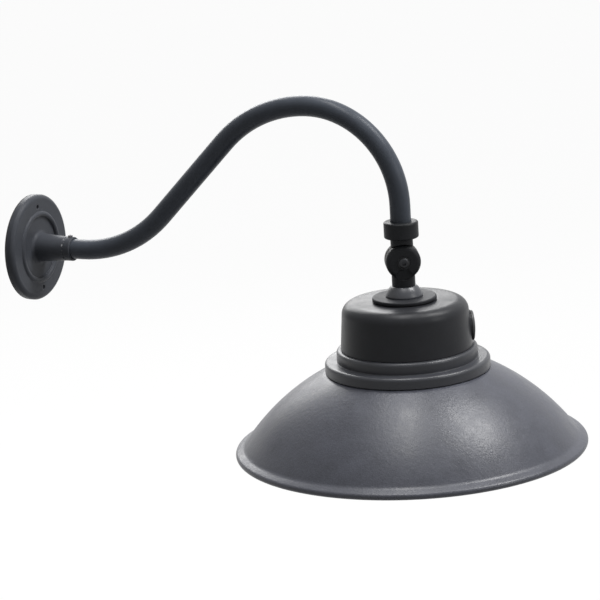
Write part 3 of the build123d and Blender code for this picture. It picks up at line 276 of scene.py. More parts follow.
def noise(tree, scale, detail, roughness=0.5, distortion=0.0):
    """Output of one Noise Texture node that stays put on its piece."""
    place = add_node(tree, "ShaderNodeTexCoord").outputs["Object"]
    return add_node(tree, "ShaderNodeTexNoise", {
        "Vector": place, "Scale": scale, "Detail": detail, "Roughness": roughness,
        "Distortion": distortion}).outputs[0]


def declare(tree, direction, kind, *names_and_defaults):
    """Adds named sockets of one kind to a node group."""
    for name, default in names_and_defaults:
        socket = tree.interface.new_socket(name, in_out=direction, socket_type=kind)
        if default is not None:
            socket.default_value = default


# ================================================================ effects that materials share
def powder_grain_group():
    """Pebbled powder coat: bump height, and a tone that varies about 1."""
    name = "Powder Grain"
    if name in bpy.data.node_groups:
        return bpy.data.node_groups[name]
    tree = bpy.data.node_groups.new(name, "ShaderNodeTree")
    declare(tree, "INPUT", "NodeSocketFloat",
            ("Grain Size", 0.001), ("Grain Height", 0.0001), ("Mottle Size", 0.016),
            ("Mottle", 0.1), ("Speckle", 0.1))
    declare(tree, "OUTPUT", "NodeSocketFloat", ("Height", None), ("Tone", None), ("Cloud", None))
    given = add_node(tree, "NodeGroupInput")
    grain_scale = calculate(tree, "DIVIDE", 1.0, given.outputs["Grain Size"])
    mottle_scale = calculate(tree, "DIVIDE", 1.0, given.outputs["Mottle Size"])
    pebbles = noise(tree, grain_scale, detail=2.0, roughness=0.55)
    swell = noise(tree, calculate(tree, "MULTIPLY", grain_scale, 0.3), detail=1.0)
    clouds = noise(tree, mottle_scale, detail=4.0, roughness=0.6)
    height = calculate(tree, "ADD", pebbles, calculate(tree, "MULTIPLY", swell, 1.4))
    height = calculate(tree, "MULTIPLY", height, given.outputs["Grain Height"])
    cloud = remap(tree, clouds, 0.3, 0.7, -1, 1)
    speck = remap(tree, pebbles, 0.3, 0.7, -1, 1)
    tone = calculate(tree, "ADD", calculate(tree, "MULTIPLY", cloud, given.outputs["Mottle"]),
                     calculate(tree, "MULTIPLY", speck, given.outputs["Speckle"]))
    add_node(tree, "NodeGroupOutput", {
        "Height": height, "Tone": calculate(tree, "ADD", tone, 1.0), "Cloud": cloud})
    return tree


def edge_wear_and_highlight_group():
    """Mask of a broken band along the edges, found where a rounded normal leaves the true one; the
    pale band it gives is partly wear and partly a painted highlight.
    """
    name = "Edge Wear"
    if name in bpy.data.node_groups:
        return bpy.data.node_groups[name]
    tree = bpy.data.node_groups.new(name, "ShaderNodeTree")
    declare(tree, "INPUT", "NodeSocketFloat",
            ("Width", 0.001), ("Amount", 0.5), ("Break Up", 250.0))
    declare(tree, "OUTPUT", "NodeSocketFloat", ("Mask", None))
    declare(tree, "OUTPUT", "NodeSocketVector", ("Normal", None))
    given = add_node(tree, "NodeGroupInput")
    rounded = add_node(tree, "ShaderNodeBevel", {"Radius": given.outputs["Width"]}, samples=6)
    true_normal = add_node(tree, "ShaderNodeNewGeometry").outputs["Normal"]
    likeness = add_node(tree, "ShaderNodeVectorMath", {0: rounded.outputs[0], 1: true_normal},
                        operation="DOT_PRODUCT").outputs["Value"]
    band = remap(tree, likeness, 0.995, 0.86, 0, 1)
    patches = noise(tree, given.outputs["Break Up"], detail=4.0, roughness=0.65)
    broken = remap(tree, patches, 0.42, 0.62, 0.15, 1)
    mask = calculate(tree, "MULTIPLY", calculate(tree, "MULTIPLY", band, broken),
                     given.outputs["Amount"], clamp=True)
    add_node(tree, "NodeGroupOutput", {"Mask": mask, "Normal": rounded.outputs[0]})
    return tree


# ================================================================ materials
def new_material(name):
    """A new material, its node tree and its Principled shader."""
    material = bpy.data.materials.new(name)
    material.use_nodes = True
    tree = material.node_tree
    return material, tree, tree.nodes["Principled BSDF"]


def powder_coat(name, colour, roughness, specular, grain=1.0, mottle=0.08, speckle=0.10,
                wear_and_highlight_amount=0.35, flecks=None):
    """Pebbled powder coat over metal, smoother along its edges and paler there, partly as wear and
    partly as a painted highlight.

    Grain scales the settings' bumps. Flecks makes a mask of spots where the bare metal shows.
    """
    coat = bpy.context.scene.sconce_coat
    material, tree, shader = new_material(name)
    grains = add_node(tree, "ShaderNodeGroup", node_tree=powder_grain_group())
    for socket, value in (
        ("Grain Size", coat.grain_size * grain), ("Grain Height", coat.grain_height * grain),
        ("Mottle Size", coat.mottle_size), ("Mottle", mottle), ("Speckle", speckle),
    ):
        grains.inputs[socket].default_value = value
    edges = add_node(tree, "ShaderNodeGroup", node_tree=edge_wear_and_highlight_group())
    edges.inputs["Width"].default_value = coat.wear_and_highlight_width
    edges.inputs["Amount"].default_value = wear_and_highlight_amount
    base = scale_colour(tree, colour, grains.outputs["Tone"])
    # Paler edges: partly wear, partly a painted highlight.
    pale_wear_and_highlight = [min(1, channel * 2.2 + 0.02) for channel in colour]
    painted = blend_colours(tree, edges.outputs["Mask"], base, pale_wear_and_highlight)
    if flecks is not None:
        painted = blend_colours(tree, flecks(tree), painted, (0.55, 0.56, 0.58))
    tree.links.new(painted, shader.inputs["Base Color"])
    clouded = calculate(tree, "MULTIPLY", grains.outputs["Cloud"], 0.06)
    rubbed = calculate(tree, "MULTIPLY", edges.outputs["Mask"], 0.12)
    rough = calculate(tree, "ADD", clouded, roughness)
    tree.links.new(calculate(tree, "SUBTRACT", rough, rubbed), shader.inputs["Roughness"])
    bump = add_node(tree, "ShaderNodeBump", {
        "Height": grains.outputs["Height"], "Normal": edges.outputs["Normal"], "Strength": 1.0,
        "Distance": 1.0})
    tree.links.new(bump.outputs["Normal"], shader.inputs["Normal"])
    shader.inputs["Specular IOR Level"].default_value = specular
    return material


def plated_steel(name, colour, roughness):
    """Zinc-plated or oiled steel with a faint cloudy stain and fine scratches."""
    material, tree, shader = new_material(name)
    stain = noise(tree, 180.0, detail=5.0, roughness=0.6)
    stained = [channel * tint for channel, tint in zip(colour, (0.86, 0.84, 0.78))]
    shown = blend_colours(tree, remap(tree, stain, 0.4, 0.65, 0, 1), colour, stained)
    tree.links.new(shown, shader.inputs["Base Color"])
    scratch = noise(tree, 900.0, detail=3.0, distortion=1.5)
    tree.links.new(remap(tree, scratch, 0.3, 0.7, roughness - 0.07, roughness + 0.12),
                   shader.inputs["Roughness"])
    bump = add_node(tree, "ShaderNodeBump", {"Height": scratch, "Distance": 0.00003})
    tree.links.new(bump.outputs["Normal"], shader.inputs["Normal"])
    shader.inputs["Metallic"].default_value = 1.0
    return material


def moulded(name, colour, roughness, texture=0.0008, specular=0.5, coat=0.0):
    """Moulded plastic, rubber or fibre with a fine skin and slightly cloudy gloss."""
    material, tree, shader = new_material(name)
    skin = noise(tree, 1 / texture, detail=3.0)
    cloud = noise(tree, 45.0, detail=3.0)
    tone = remap(tree, cloud, 0.3, 0.7, 0.93, 1.06)
    tree.links.new(scale_colour(tree, colour, tone), shader.inputs["Base Color"])
    tree.links.new(remap(tree, cloud, 0.3, 0.7, roughness - 0.04, roughness + 0.05),
                   shader.inputs["Roughness"])
    bump = add_node(tree, "ShaderNodeBump", {
        "Height": skin, "Strength": 0.6, "Distance": texture * 0.08})
    tree.links.new(bump.outputs["Normal"], shader.inputs["Normal"])
    shader.inputs["Specular IOR Level"].default_value = specular
    shader.inputs["Coat Weight"].default_value = coat
    return material


def coat_node(name, material):
    """Gives a piece of the frame its finished material."""
    for slot in frame["nodes"][name].material_slots:
        slot.material = material


# ================================================================ geometry node trees
def modifier_tree(name, *inputs):
    """A geometry node group and its input node. Each input is (kind, name, default)."""
    tree = bpy.data.node_groups.new(name, "GeometryNodeTree")
    declare(tree, "INPUT", "NodeSocketGeometry", ("Geometry", None))
    for kind, label, default in inputs:
        declare(tree, "INPUT", kind, (label, default))
    declare(tree, "OUTPUT", "NodeSocketGeometry", ("Geometry", None))
    return tree, add_node(tree, "NodeGroupInput")


def apply_tree(source, tree, piece_name, place=Matrix.Identity(4), **values):
    """Runs a geometry node tree on an object and returns the result as a plain mesh object.

    Each value goes to the tree's input of that name, so ring_radius feeds Ring Radius.
    """
    bpy.context.scene.collection.objects.link(source)
    modifier = source.modifiers.new(tree.name, "NODES")
    modifier.node_group = tree
    sockets = {item.name: item.identifier for item in tree.interface.items_tree
               if item.in_out == "INPUT"}
    for label, value in values.items():
        modifier[sockets[label.replace("_", " ").title()]] = value
    graph = bpy.context.evaluated_depsgraph_get()
    mesh = bpy.data.meshes.new_from_object(source.evaluated_get(graph), depsgraph=graph)
    source.modifiers.remove(modifier)
    bpy.data.objects.remove(source)
    mesh.name = piece_name
    mesh.transform(place)
    piece = bpy.data.objects.new(piece_name, mesh)
    bpy.context.scene.collection.objects.link(piece)
    return piece


def spun_sheet_tree():
    """Turns an outline of radius and drop round the upright axis, in two coats."""
    tree, given = modifier_tree(
        "Spun Sheet",
        ("NodeSocketFloat", "Hole Radius", 0.06), ("NodeSocketInt", "Turn Steps", 240),
        ("NodeSocketInt", "Outside Points", 60), ("NodeSocketMaterial", "Outside Coat", None),
        ("NodeSocketMaterial", "Inside Coat", None))
    index = add_node(tree, "GeometryNodeInputIndex").outputs[0]
    is_inside = add_node(tree, "FunctionNodeCompare", {
        2: index, 3: given.outputs["Outside Points"]}, data_type="INT", operation="GREATER_EQUAL")
    marked = add_node(tree, "GeometryNodeStoreNamedAttribute", {
        "Geometry": given.outputs["Geometry"], "Name": "inside", "Value": is_inside.outputs[0]},
        data_type="BOOLEAN", domain="POINT")
    path = add_node(tree, "GeometryNodeCurvePrimitiveCircle", {
        "Resolution": given.outputs["Turn Steps"], "Radius": given.outputs["Hole Radius"]},
        mode="RADIUS")
    spun = add_node(tree, "GeometryNodeCurveToMesh", {
        "Curve": path.outputs["Curve"], "Profile Curve": marked.outputs["Geometry"]})
    smooth = add_node(tree, "GeometryNodeSetShadeSmooth", {"Geometry": spun.outputs["Mesh"]})
    coated = add_node(tree, "GeometryNodeSetMaterial", {
        "Geometry": smooth.outputs["Geometry"], "Material": given.outputs["Outside Coat"]})
    mark = add_node(tree, "GeometryNodeInputNamedAttribute", {"Name": "inside"},
                    data_type="BOOLEAN")
    lined = add_node(tree, "GeometryNodeSetMaterial", {
        "Geometry": coated.outputs["Geometry"], "Selection": mark.outputs["Attribute"],
        "Material": given.outputs["Inside Coat"]})
    real = add_node(tree, "GeometryNodeRealizeInstances", {"Geometry": lined.outputs["Geometry"]})
    add_node(tree, "NodeGroupOutput", {"Geometry": real.outputs["Geometry"]})
    return tree


def vector_of(tree, x=0.0, y=0.0, z=0.0):
    """Output of one Combine XYZ node."""
    return add_node(tree, "ShaderNodeCombineXYZ", {"X": x, "Y": y, "Z": z}).outputs[0]


def ring_of_copies_tree(name, slotted=False):
    """Sets copies of a mesh in a ring, each turned at random; may first cut a slot in its head."""
    tree, given = modifier_tree(
        name,
        ("NodeSocketInt", "Count", 6), ("NodeSocketFloat", "Ring Radius", 0.05),
        ("NodeSocketFloat", "Start Angle", 0.0), ("NodeSocketFloat", "Free Turn", 0.0),
        ("NodeSocketInt", "Seed", 1),
        ("NodeSocketFloat", "Head Width", 0.007), ("NodeSocketFloat", "Head Height", 0.0026),
        ("NodeSocketFloat", "Slot Width", 0.001), ("NodeSocketMaterial", "Finish", None),
        ("NodeSocketMaterial", "Window Finish", None))
    copy = given.outputs["Geometry"]
    if slotted:
        blade = add_node(tree, "GeometryNodeMeshCube", {"Size": vector_of(
            tree, calculate(tree, "MULTIPLY", given.outputs["Head Width"], 1.2),
            given.outputs["Slot Width"], given.outputs["Head Height"])})
        placed = add_node(tree, "GeometryNodeTransform", {
            "Geometry": blade.outputs["Mesh"],
            "Translation": vector_of(tree, z=calculate(
                tree, "MULTIPLY", given.outputs["Head Height"], -1.0))})
        cut = add_node(tree, "GeometryNodeMeshBoolean", {
            "Mesh 1": copy, "Mesh 2": placed.outputs["Geometry"]},
            operation="DIFFERENCE", solver="EXACT")
        copy = cut.outputs["Mesh"]
    share = calculate(tree, "DIVIDE", add_node(tree, "GeometryNodeInputIndex").outputs[0],
                      given.outputs["Count"])
    round_ring = calculate(tree, "ADD", calculate(tree, "MULTIPLY", share, tau),
                           given.outputs["Start Angle"])
    seat_x, seat_y = (
        calculate(tree, "MULTIPLY", calculate(tree, wave, round_ring), given.outputs["Ring Radius"])
        for wave in ("COSINE", "SINE"))
    seats = add_node(tree, "GeometryNodePoints", {
        "Count": given.outputs["Count"], "Position": vector_of(tree, seat_x, seat_y)})
    chance = add_node(tree, "FunctionNodeRandomValue", {
        2: 0.0, 3: given.outputs["Free Turn"], "Seed": given.outputs["Seed"]}, data_type="FLOAT")
    turned = vector_of(tree, z=calculate(tree, "ADD", round_ring, chance.outputs[1]))
    copies = add_node(tree, "GeometryNodeInstanceOnPoints", {
        "Points": seats.outputs["Points"], "Instance": copy, "Rotation": turned})
    real = add_node(tree, "GeometryNodeRealizeInstances", {
        "Geometry": copies.outputs["Instances"]})
    smooth = add_node(tree, "GeometryNodeSetShadeSmooth", {"Geometry": real.outputs["Geometry"]})
    bend = add_node(tree, "GeometryNodeInputMeshEdgeAngle").outputs["Unsigned Angle"]
    crisp = add_node(tree, "GeometryNodeSetShadeSmooth", {
        "Geometry": smooth.outputs["Geometry"], "Shade Smooth": False,
        "Selection": calculate(tree, "GREATER_THAN", bend, radians(38))}, domain="EDGE")
    finished = add_node(tree, "GeometryNodeSetMaterial", {
        "Geometry": crisp.outputs["Geometry"], "Material": given.outputs["Finish"]})
    mark = add_node(tree, "GeometryNodeInputNamedAttribute", {"Name": "window"},
                    data_type="BOOLEAN")
    glazed = add_node(tree, "GeometryNodeSetMaterial", {
        "Geometry": finished.outputs["Geometry"], "Selection": mark.outputs["Attribute"],
        "Material": given.outputs["Window Finish"]})
    add_node(tree, "NodeGroupOutput", {"Geometry": glazed.outputs["Geometry"]})
    return tree


def turned_mesh(name, outline, steps=28):
    """A closed turned mesh from (radius, height) points, from the lower pole to the upper one."""
    made = bmesh.new()
    low = made.verts.new((0, 0, outline[0][1]))
    high = made.verts.new((0, 0, outline[-1][1]))
    rings = []
    turns = [tau * k / steps for k in range(steps)]
    for radius, height in outline[1:-1]:
        rings.append([made.verts.new((radius * cos(turn), radius * sin(turn), height))
                      for turn in turns])
    for k in range(steps):
        after = (k + 1) % steps
        made.faces.new((low, rings[0][after], rings[0][k]))
        made.faces.new((high, rings[-1][k], rings[-1][after]))
        for below, above in zip(rings, rings[1:]):
            made.faces.new((below[k], below[after], above[after], above[k]))
    mesh = bpy.data.meshes.new(name)
    made.to_mesh(mesh)
    made.free()
    return mesh


class ScrewRing(NamedTuple):
    """A ring of like screws round the head's axis, in the place of one CAD node."""

    name: str
    node: str
    count: int
    radius: float           # of the circle that the screws stand on
    start: float            # angle of the first screw
    seat: float             # height that the heads sit on
    head: tuple             # width and height
    shank: tuple            # width and length
    seed: int               # of the way that the slots are turned
    flipped: bool = False   # head up


SCREW_RINGS = (
    ScrewRing("ring_clamp_screws", "ring_screws", 6, radius=0.068, start=0,
              seat=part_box("lens_ring")[0].z, head=(0.0075, 0.0026), shank=(0.004, 0.01805), seed=3),
    ScrewRing("board_clamp_screws", "board_screws", 3, radius=0.042, start=0,
              seat=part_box("lamp_board")[0].z, head=(0.0054, 0.0018), shank=(0.003, 0.0041), seed=5),
    ScrewRing("base_clamp_screws", "housing_screws", 4, radius=0.051, start=pi / 4,
              seat=BASE_LOW.z, head=(0.007, 0.0026), shank=(0.004, 0.0415), seed=7),
    ScrewRing("driver_clamp_screws", "driver_screws", 2, radius=0.050, start=pi / 2,
              seat=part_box("driver_case")[0].z + 0.002,      # on the case's ears
              head=(0.007, 0.0024), shank=(0.004, 0.011), seed=9, flipped=True),
)
CROWN_ANGLES = [radians(angle) for angle in (12, 26, 40, 54, 68, 80, 90)]
TIP_TAPER = 0.0005          # how much thinner a shank is at its tip, on the radius


def screw_mesh(sizes, head_width, head_height, shank_width, shank_length):
    """A screw that points up from its seat at height 0: a domed head below, threads above."""
    head, shank = head_width / 2, shank_width / 2
    crown = head_height * sizes.crown_share
    outline = [(0, -head_height)]
    outline += [(head * sin(turn), crown - head_height - crown * cos(turn))
                for turn in CROWN_ANGLES]
    outline += [(head, -0.1 * head_height), (head * 0.97, 0), (shank, 0)]
    height = sizes.thread_pitch
    while height < shank_length - sizes.thread_pitch:
        outline.append((shank, height))
        outline.append((shank - sizes.thread_depth, height + sizes.thread_pitch / 2))
        height += sizes.thread_pitch
    outline += [(shank - TIP_TAPER, shank_length), (0, shank_length)]
    return turned_mesh("screw", outline)


def set_screws(ring, finish):
    """Puts a ring of slotted screws in the place of its CAD node."""
    sizes = bpy.context.scene.sconce_fasteners
    upright = Matrix.Rotation(pi if ring.flipped else 0, 4, "X")
    source = bpy.data.objects.new(ring.name, screw_mesh(sizes, *ring.head, *ring.shank))
    head_width, head_height = ring.head
    piece = apply_tree(
        source, ring_of_copies_tree(ring.name, slotted=True), ring.name,
        HEAD_PLACE @ Matrix.Translation((0, 0, ring.seat)) @ upright,
        count=ring.count, ring_radius=ring.radius, start_angle=ring.start, free_turn=tau,
        seed=ring.seed, head_width=head_width, head_height=head_height,
        slot_width=head_width * sizes.slot_share, finish=finish, window_finish=finish)
    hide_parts(ring.node)
    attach(piece, "head")


# ================================================================ wall plate and arm
def groove_flecks(tree):
    """Mask of small bare flecks along the groove behind the boss's lip."""
    place = add_node(tree, "ShaderNodeTexCoord").outputs["Object"]
    along = add_node(tree, "ShaderNodeSeparateXYZ", {0: place}).outputs["X"]
    from_groove = calculate(tree, "ABSOLUTE", calculate(tree, "SUBTRACT", along, GROOVE_X))
    near = remap(tree, from_groove, 0.0006, 0.0022, 1, 0)
    spots = remap(tree, noise(tree, 420.0, detail=3.0, roughness=0.7), 0.60, 0.64, 0, 1)
    return calculate(tree, "MULTIPLY", near, spots, clamp=True)


class SCONCE_OT_wall_plate(bpy.types.Operator):
    """Coat the wall plate, its gasket and its set screw"""

    bl_idname = "sconce.wall_plate"
    bl_label = "Wall Plate"

    def execute(self, context):
        coat = context.scene.sconce_coat
        coat_node("wall_plate", powder_coat(
            "Plate Coat", coat.plate_colour, roughness=0.38, specular=0.09, grain=0.45, wear_and_highlight_amount=0.6,
            flecks=groove_flecks))
        coat_node("plate_gasket", moulded("Gasket Rubber", (0.022, 0.022, 0.023), 0.75))
        coat_node("arm_set_screw", plated_steel("Set Screw Steel", (0.10, 0.10, 0.11), 0.42))
        return {"FINISHED"}


class SCONCE_OT_arm(bpy.types.Operator):
    """Coat the bent tube"""

    bl_idname = "sconce.arm"
    bl_label = "Arm"

    def execute(self, context):
        coat = context.scene.sconce_coat
        coat_node("gooseneck_arm", powder_coat(
            "Arm Coat", coat.arm_colour, roughness=0.34, specular=0.11, grain=0.4))
        return {"FINISHED"}


# ================================================================ swivel
class SCONCE_OT_swivel(bpy.types.Operator):
    """Coat the collar and the two cheeks of the knuckle, and finish what is inside them"""

    bl_idname = "sconce.swivel"
    bl_label = "Swivel"

    def execute(self, context):
        coat = context.scene.sconce_coat
        casting = powder_coat("Swivel Coat", coat.swivel_colour, roughness=0.45, specular=0.12,
                              grain=0.8, speckle=0.16)
        for name in ("collar_nut", "swivel_upper", "swivel_lower"):
            coat_node(name, casting)
        coat_node("arm_seal", moulded("Seal Rubber", (0.024, 0.024, 0.025), 0.7))
        coat_node("snap_ring", plated_steel("Spring Steel", (0.36, 0.36, 0.37), 0.34))
        coat_node("friction_ring", moulded("Friction Fibre", (0.12, 0.085, 0.055), 0.85, 0.0005))
        return {"FINISHED"}


class SCONCE_OT_pivot_bolt(bpy.types.Operator):
    """Finish the pivot bolt, its washer and its nut"""

    bl_idname = "sconce.pivot_bolt"
    bl_label = "Pivot Bolt"

    def execute(self, context):
        black_oxide = plated_steel("Black Oxide Steel", (0.032, 0.033, 0.036), 0.50)
        coat_node("pivot_bolt", black_oxide)
        coat_node("pivot_washer", black_oxide)
        coat_node("pivot_nut", plated_steel("Pivot Nut Zinc", (0.60, 0.61, 0.62), 0.33))
        return {"FINISHED"}


# ================================================================ cone, cap and housing
class SCONCE_OT_cone_and_cap(bpy.types.Operator):
    """Coat the cone and the cap, and finish the nut, washer and pad under them"""

    bl_idname = "sconce.cone_and_cap"
    bl_label = "Cone and Cap"

    def execute(self, context):
        coat = context.scene.sconce_coat
        # The cone's lighter colour is partly a painted highlight.
        coat_node("neck_cone", powder_coat(
            "Cone Coat", coat.cone_colour_and_painted_highlight, roughness=0.34, specular=0.4, grain=0.5, speckle=0.05))
        coat_node("cap_plate", powder_coat(
            "Cap Coat", coat.housing_colour, roughness=0.50, specular=0.12, grain=0.7,
            speckle=0.08))
        coat_node("cap_gasket", moulded("Cap Pad Rubber", (0.020, 0.020, 0.021), 0.8))
        zinc = plated_steel("Stem Zinc", (0.60, 0.61, 0.62), 0.35)
        coat_node("stem_nut", zinc)
        coat_node("stem_washer", zinc)
        return {"FINISHED"}


class SCONCE_OT_housing(bpy.types.Operator):
    """Coat the housing and the stepped base"""

    bl_idname = "sconce.housing"
    bl_label = "Housing"

    def execute(self, context):
        coat = context.scene.sconce_coat
        coat_node("housing", powder_coat(
            "Housing Coat", coat.housing_colour, roughness=0.35, specular=0.14, grain=0.4,
            speckle=0.06))
        # The base's lighter colour is partly a painted highlight on the steps' edges.
        coat_node("stepped_base", powder_coat(
            "Base Coat", coat.base_colour_and_painted_highlight, roughness=0.34, specular=0.30, grain=0.4,
            speckle=0.06))
        return {"FINISHED"}


class SCONCE_OT_photocell(bpy.types.Operator):
    """Finish the photocell, its window, pad and nut"""

    bl_idname = "sconce.photocell"
    bl_label = "Photocell"

    def execute(self, context):
        coat_node("photocell_body", moulded("Sensor Plastic", (0.020, 0.021, 0.023), 0.42))
        coat_node("photocell_window",
                  moulded("Sensor Window", (0.050, 0.030, 0.034), 0.12, coat=0.6))
        coat_node("photocell_gasket", moulded("Sensor Pad Rubber", (0.020, 0.020, 0.021), 0.8))
        coat_node("photocell_nut", moulded("Sensor Nut Nylon", (0.055, 0.055, 0.056), 0.5))
        return {"FINISHED"}


# ================================================================ shade
def arc_steps(start_angle, turn, radius, chord):
    """Steps along an arc as (middle angle, end angle, length), each about one chord long."""
    count = max(4, round(abs(turn) * radius / chord))
    step = turn / count
    length = 2 * radius * sin(abs(step) / 2)
    return [(start_angle + (k + 0.5) * step, start_angle + (k + 1) * step, length)
            for k in range(count)]


def shade_skins(sizes, hole_radius, shoulder_radius, rim_radius):
    """Outer and inner skin of the shade as lists of (radius, drop), from the hole to the rim."""
    lip_reach = (
        sizes.flare_radius * (sin(sizes.end_slope) - sin(sizes.lip_slope))
        + sizes.lip_length * cos(sizes.lip_slope)
        + sizes.bead_radius * (1 - sin(sizes.lip_slope))
    )
    dome_run = rim_radius - lip_reach - shoulder_radius
    dome_radius = dome_run / (sin(sizes.end_slope) - sin(sizes.top_slope))
    steps = [(0, 0, shoulder_radius - hole_radius)]
    dome_turn = sizes.end_slope - sizes.top_slope
    flare_turn = sizes.lip_slope - sizes.end_slope
    steps += arc_steps(sizes.top_slope, dome_turn, dome_radius, chord=0.004)
    steps += arc_steps(sizes.end_slope, flare_turn, sizes.flare_radius, chord=0.0008)
    steps += [(sizes.lip_slope, sizes.lip_slope, sizes.lip_length)]
    steps += arc_steps(sizes.lip_slope, sizes.bead_turn, sizes.bead_radius, chord=0.0006)
    radius, drop = hole_radius, 0
    outer, inner = [(radius, drop)], [(radius, sizes.sheet)]
    for middle, end, length in steps:
        radius += length * cos(middle)
        drop += length * sin(middle)
        outer.append((radius, drop))
        inner.append((radius - sizes.sheet * sin(end), drop + sizes.sheet * cos(end)))
    return outer, inner


class SCONCE_OT_shade(bpy.types.Operator):
    """Spin the shade: dark outside, white inside, with a rolled rim"""

    bl_idname = "sconce.shade"
    bl_label = "Shade"

    def execute(self, context):
        coat = context.scene.sconce_coat
        sizes = context.scene.sconce_shade
        rim_radius = (SHADE_HIGH.x - SHADE_LOW.x) / 2
        hole_radius = (GASKET_HIGH.x - GASKET_LOW.x) / 2 + SEAT_PAST_GASKET + sizes.hole_gap
        shoulder_radius = (BASE_HIGH.x - BASE_LOW.x) / 2
        outer, inner = shade_skins(sizes, hole_radius, shoulder_radius, rim_radius)
        curve = bpy.data.curves.new("shade_outline", "CURVE")
        curve.dimensions = "3D"
        outline = curve.splines.new("POLY")
        outline.points.add(len(outer) + len(inner) - 1)
        for point, (radius, drop) in zip(outline.points, outer + inner[::-1]):
            point.co = (radius - hole_radius, drop, 0, 1)
        outline.use_cyclic_u = True
        shade = apply_tree(
            bpy.data.objects.new("shade_outline", curve), spun_sheet_tree(), "spun_shade",
            Matrix.Translation(HEAD_AXIS + Vector((0, 0, SHADE_HIGH.z))),
            hole_radius=hole_radius, turn_steps=sizes.turn_steps, outside_points=len(outer),
            outside_coat=powder_coat("Shade Coat", coat.shade_colour, roughness=0.37,
                                     specular=0.35, mottle=0.12, speckle=0.20, wear_and_highlight_amount=0.0),
            inside_coat=powder_coat("Inside White", coat.inside_colour, roughness=0.45,
                                    specular=0.5, mottle=0.02, speckle=0.03, wear_and_highlight_amount=0.0))
        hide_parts("shade")
        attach(shade, "head")
        coat_node("shade_gasket", moulded("Shade Pad Rubber", (0.020, 0.020, 0.021), 0.8))
        return {"FINISHED"}


# ================================================================ driver, lamp and lens
class SCONCE_OT_driver(bpy.types.Operator):
    """Finish the driver inside the housing"""

    bl_idname = "sconce.driver"
    bl_label = "Driver"

    def execute(self, context):
        sheet = plated_steel("Driver Sheet", (0.70, 0.71, 0.72), 0.38)
        coat_node("driver_case", sheet)
        coat_node("driver_lid", sheet)
        return {"FINISHED"}


class SCONCE_OT_lamp(bpy.types.Operator):
    """Finish the lamp board, its chips, the lens and the ring that holds it"""

    bl_idname = "sconce.lamp"
    bl_label = "Lamp"

    def set_chips(self, sizes):
        """Three rings of chips on the board, each a white frame round a yellow window."""
        low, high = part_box("lamp_chips")
        thickness = high.z - low.z
        made = bmesh.new()
        bmesh.ops.create_cube(made, size=1, matrix=Matrix.Translation((0, 0, -thickness / 2))
                              @ Matrix.Diagonal((sizes.chip_size, sizes.chip_size, thickness, 1)))
        window = made.faces.layers.bool.new("window")
        face = min(made.faces, key=lambda face: face.calc_center_median().z)
        frame_width = (sizes.chip_size - sizes.chip_window) / 2
        bmesh.ops.inset_individual(made, faces=[face], thickness=frame_width)
        bmesh.ops.translate(made, verts=face.verts, vec=(0, 0, thickness * 0.25))
        face[window] = True
        chip = bpy.data.meshes.new("chip")
        made.to_mesh(chip)
        made.free()
        tree = ring_of_copies_tree("Chip Ring")
        finish = moulded("Chip Frame", (0.82, 0.82, 0.80), 0.35)
        phosphor = moulded("Chip Phosphor", (0.85, 0.62, 0.12), 0.3)
        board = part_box("lamp_board")
        outer_radius = (board[1].x - board[0].x) / 2 - sizes.chip_pitch
        merged = bmesh.new()
        for ring in range(3):
            count = 6 * (ring + 1)
            part = apply_tree(
                bpy.data.objects.new("chips", chip), tree, "chips", count=count,
                ring_radius=outer_radius - sizes.chip_pitch * (2 - ring), start_angle=pi / count,
                finish=finish, window_finish=phosphor)
            merged.from_mesh(part.data)
            bpy.data.objects.remove(part)
        mesh = bpy.data.meshes.new("chip_rings")
        merged.to_mesh(mesh)
        merged.free()
        mesh.materials.append(finish)
        mesh.materials.append(phosphor)
        mesh.transform(HEAD_PLACE @ Matrix.Translation((0, 0, high.z)))
        chips = bpy.data.objects.new("chip_rings", mesh)
        bpy.context.scene.collection.objects.link(chips)
        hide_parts("lamp_chips")
        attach(chips, "head")

    def execute(self, context):
        coat = context.scene.sconce_coat
        coat_node("lamp_board", moulded("Board White", (0.78, 0.79, 0.78), 0.4))
        self.set_chips(context.scene.sconce_fasteners)
        coat_node("lens", moulded("Opal Lens", (0.86, 0.87, 0.87), 0.25, 0.002))
        coat_node("lens_gasket", moulded("Lens Pad Rubber", (0.30, 0.30, 0.30), 0.7))
        coat_node("lens_ring", powder_coat(
            "Ring White", coat.inside_colour, roughness=0.45, specular=0.5, mottle=0.02,
            speckle=0.03, wear_and_highlight_amount=0.15))
        return {"FINISHED"}


class SCONCE_OT_screws(bpy.types.Operator):
    """Finish the screws of the ring, the board, the housing and the driver"""

    bl_idname = "sconce.screws"
    bl_label = "Screws"

    def execute(self, context):
        zinc = plated_steel("Screw Zinc", (0.62, 0.63, 0.64), 0.32)
        for ring in SCREW_RINGS:
            set_screws(ring, zinc)
        return {"FINISHED"}


# ================================================================ stage
def shown_white(tree):
    """Mask that is 1 for what the camera, a mirror or a lens sees of a surface."""
    rays = add_node(tree, "ShaderNodeLightPath")
    seen = calculate(tree, "MAXIMUM", rays.outputs["Is Camera Ray"], rays.outputs["Is Glossy Ray"])
    seen = calculate(tree, "MAXIMUM", seen, rays.outputs["Is Transmission Ray"])
    return seen


def build_world():
    """Soft even light, and white wherever the background shows."""
    world = bpy.data.worlds.new("Studio")
    world.use_nodes = True
    tree = world.node_tree
    tree.nodes.clear()
    soft = add_node(tree, "ShaderNodeBackground", {"Color": (1, 1, 1, 1), "Strength": 0.05})
    white = add_node(tree, "ShaderNodeBackground", {"Color": (1, 1, 1, 1), "Strength": 1.0})
    mixed = add_node(tree, "ShaderNodeMixShader", {0: shown_white(tree)})
    tree.links.new(soft.outputs[0], mixed.inputs[1])
    tree.links.new(white.outputs[0], mixed.inputs[2])
    add_node(tree, "ShaderNodeOutputWorld", {"Surface": mixed.outputs[0]})
    bpy.context.scene.world = world


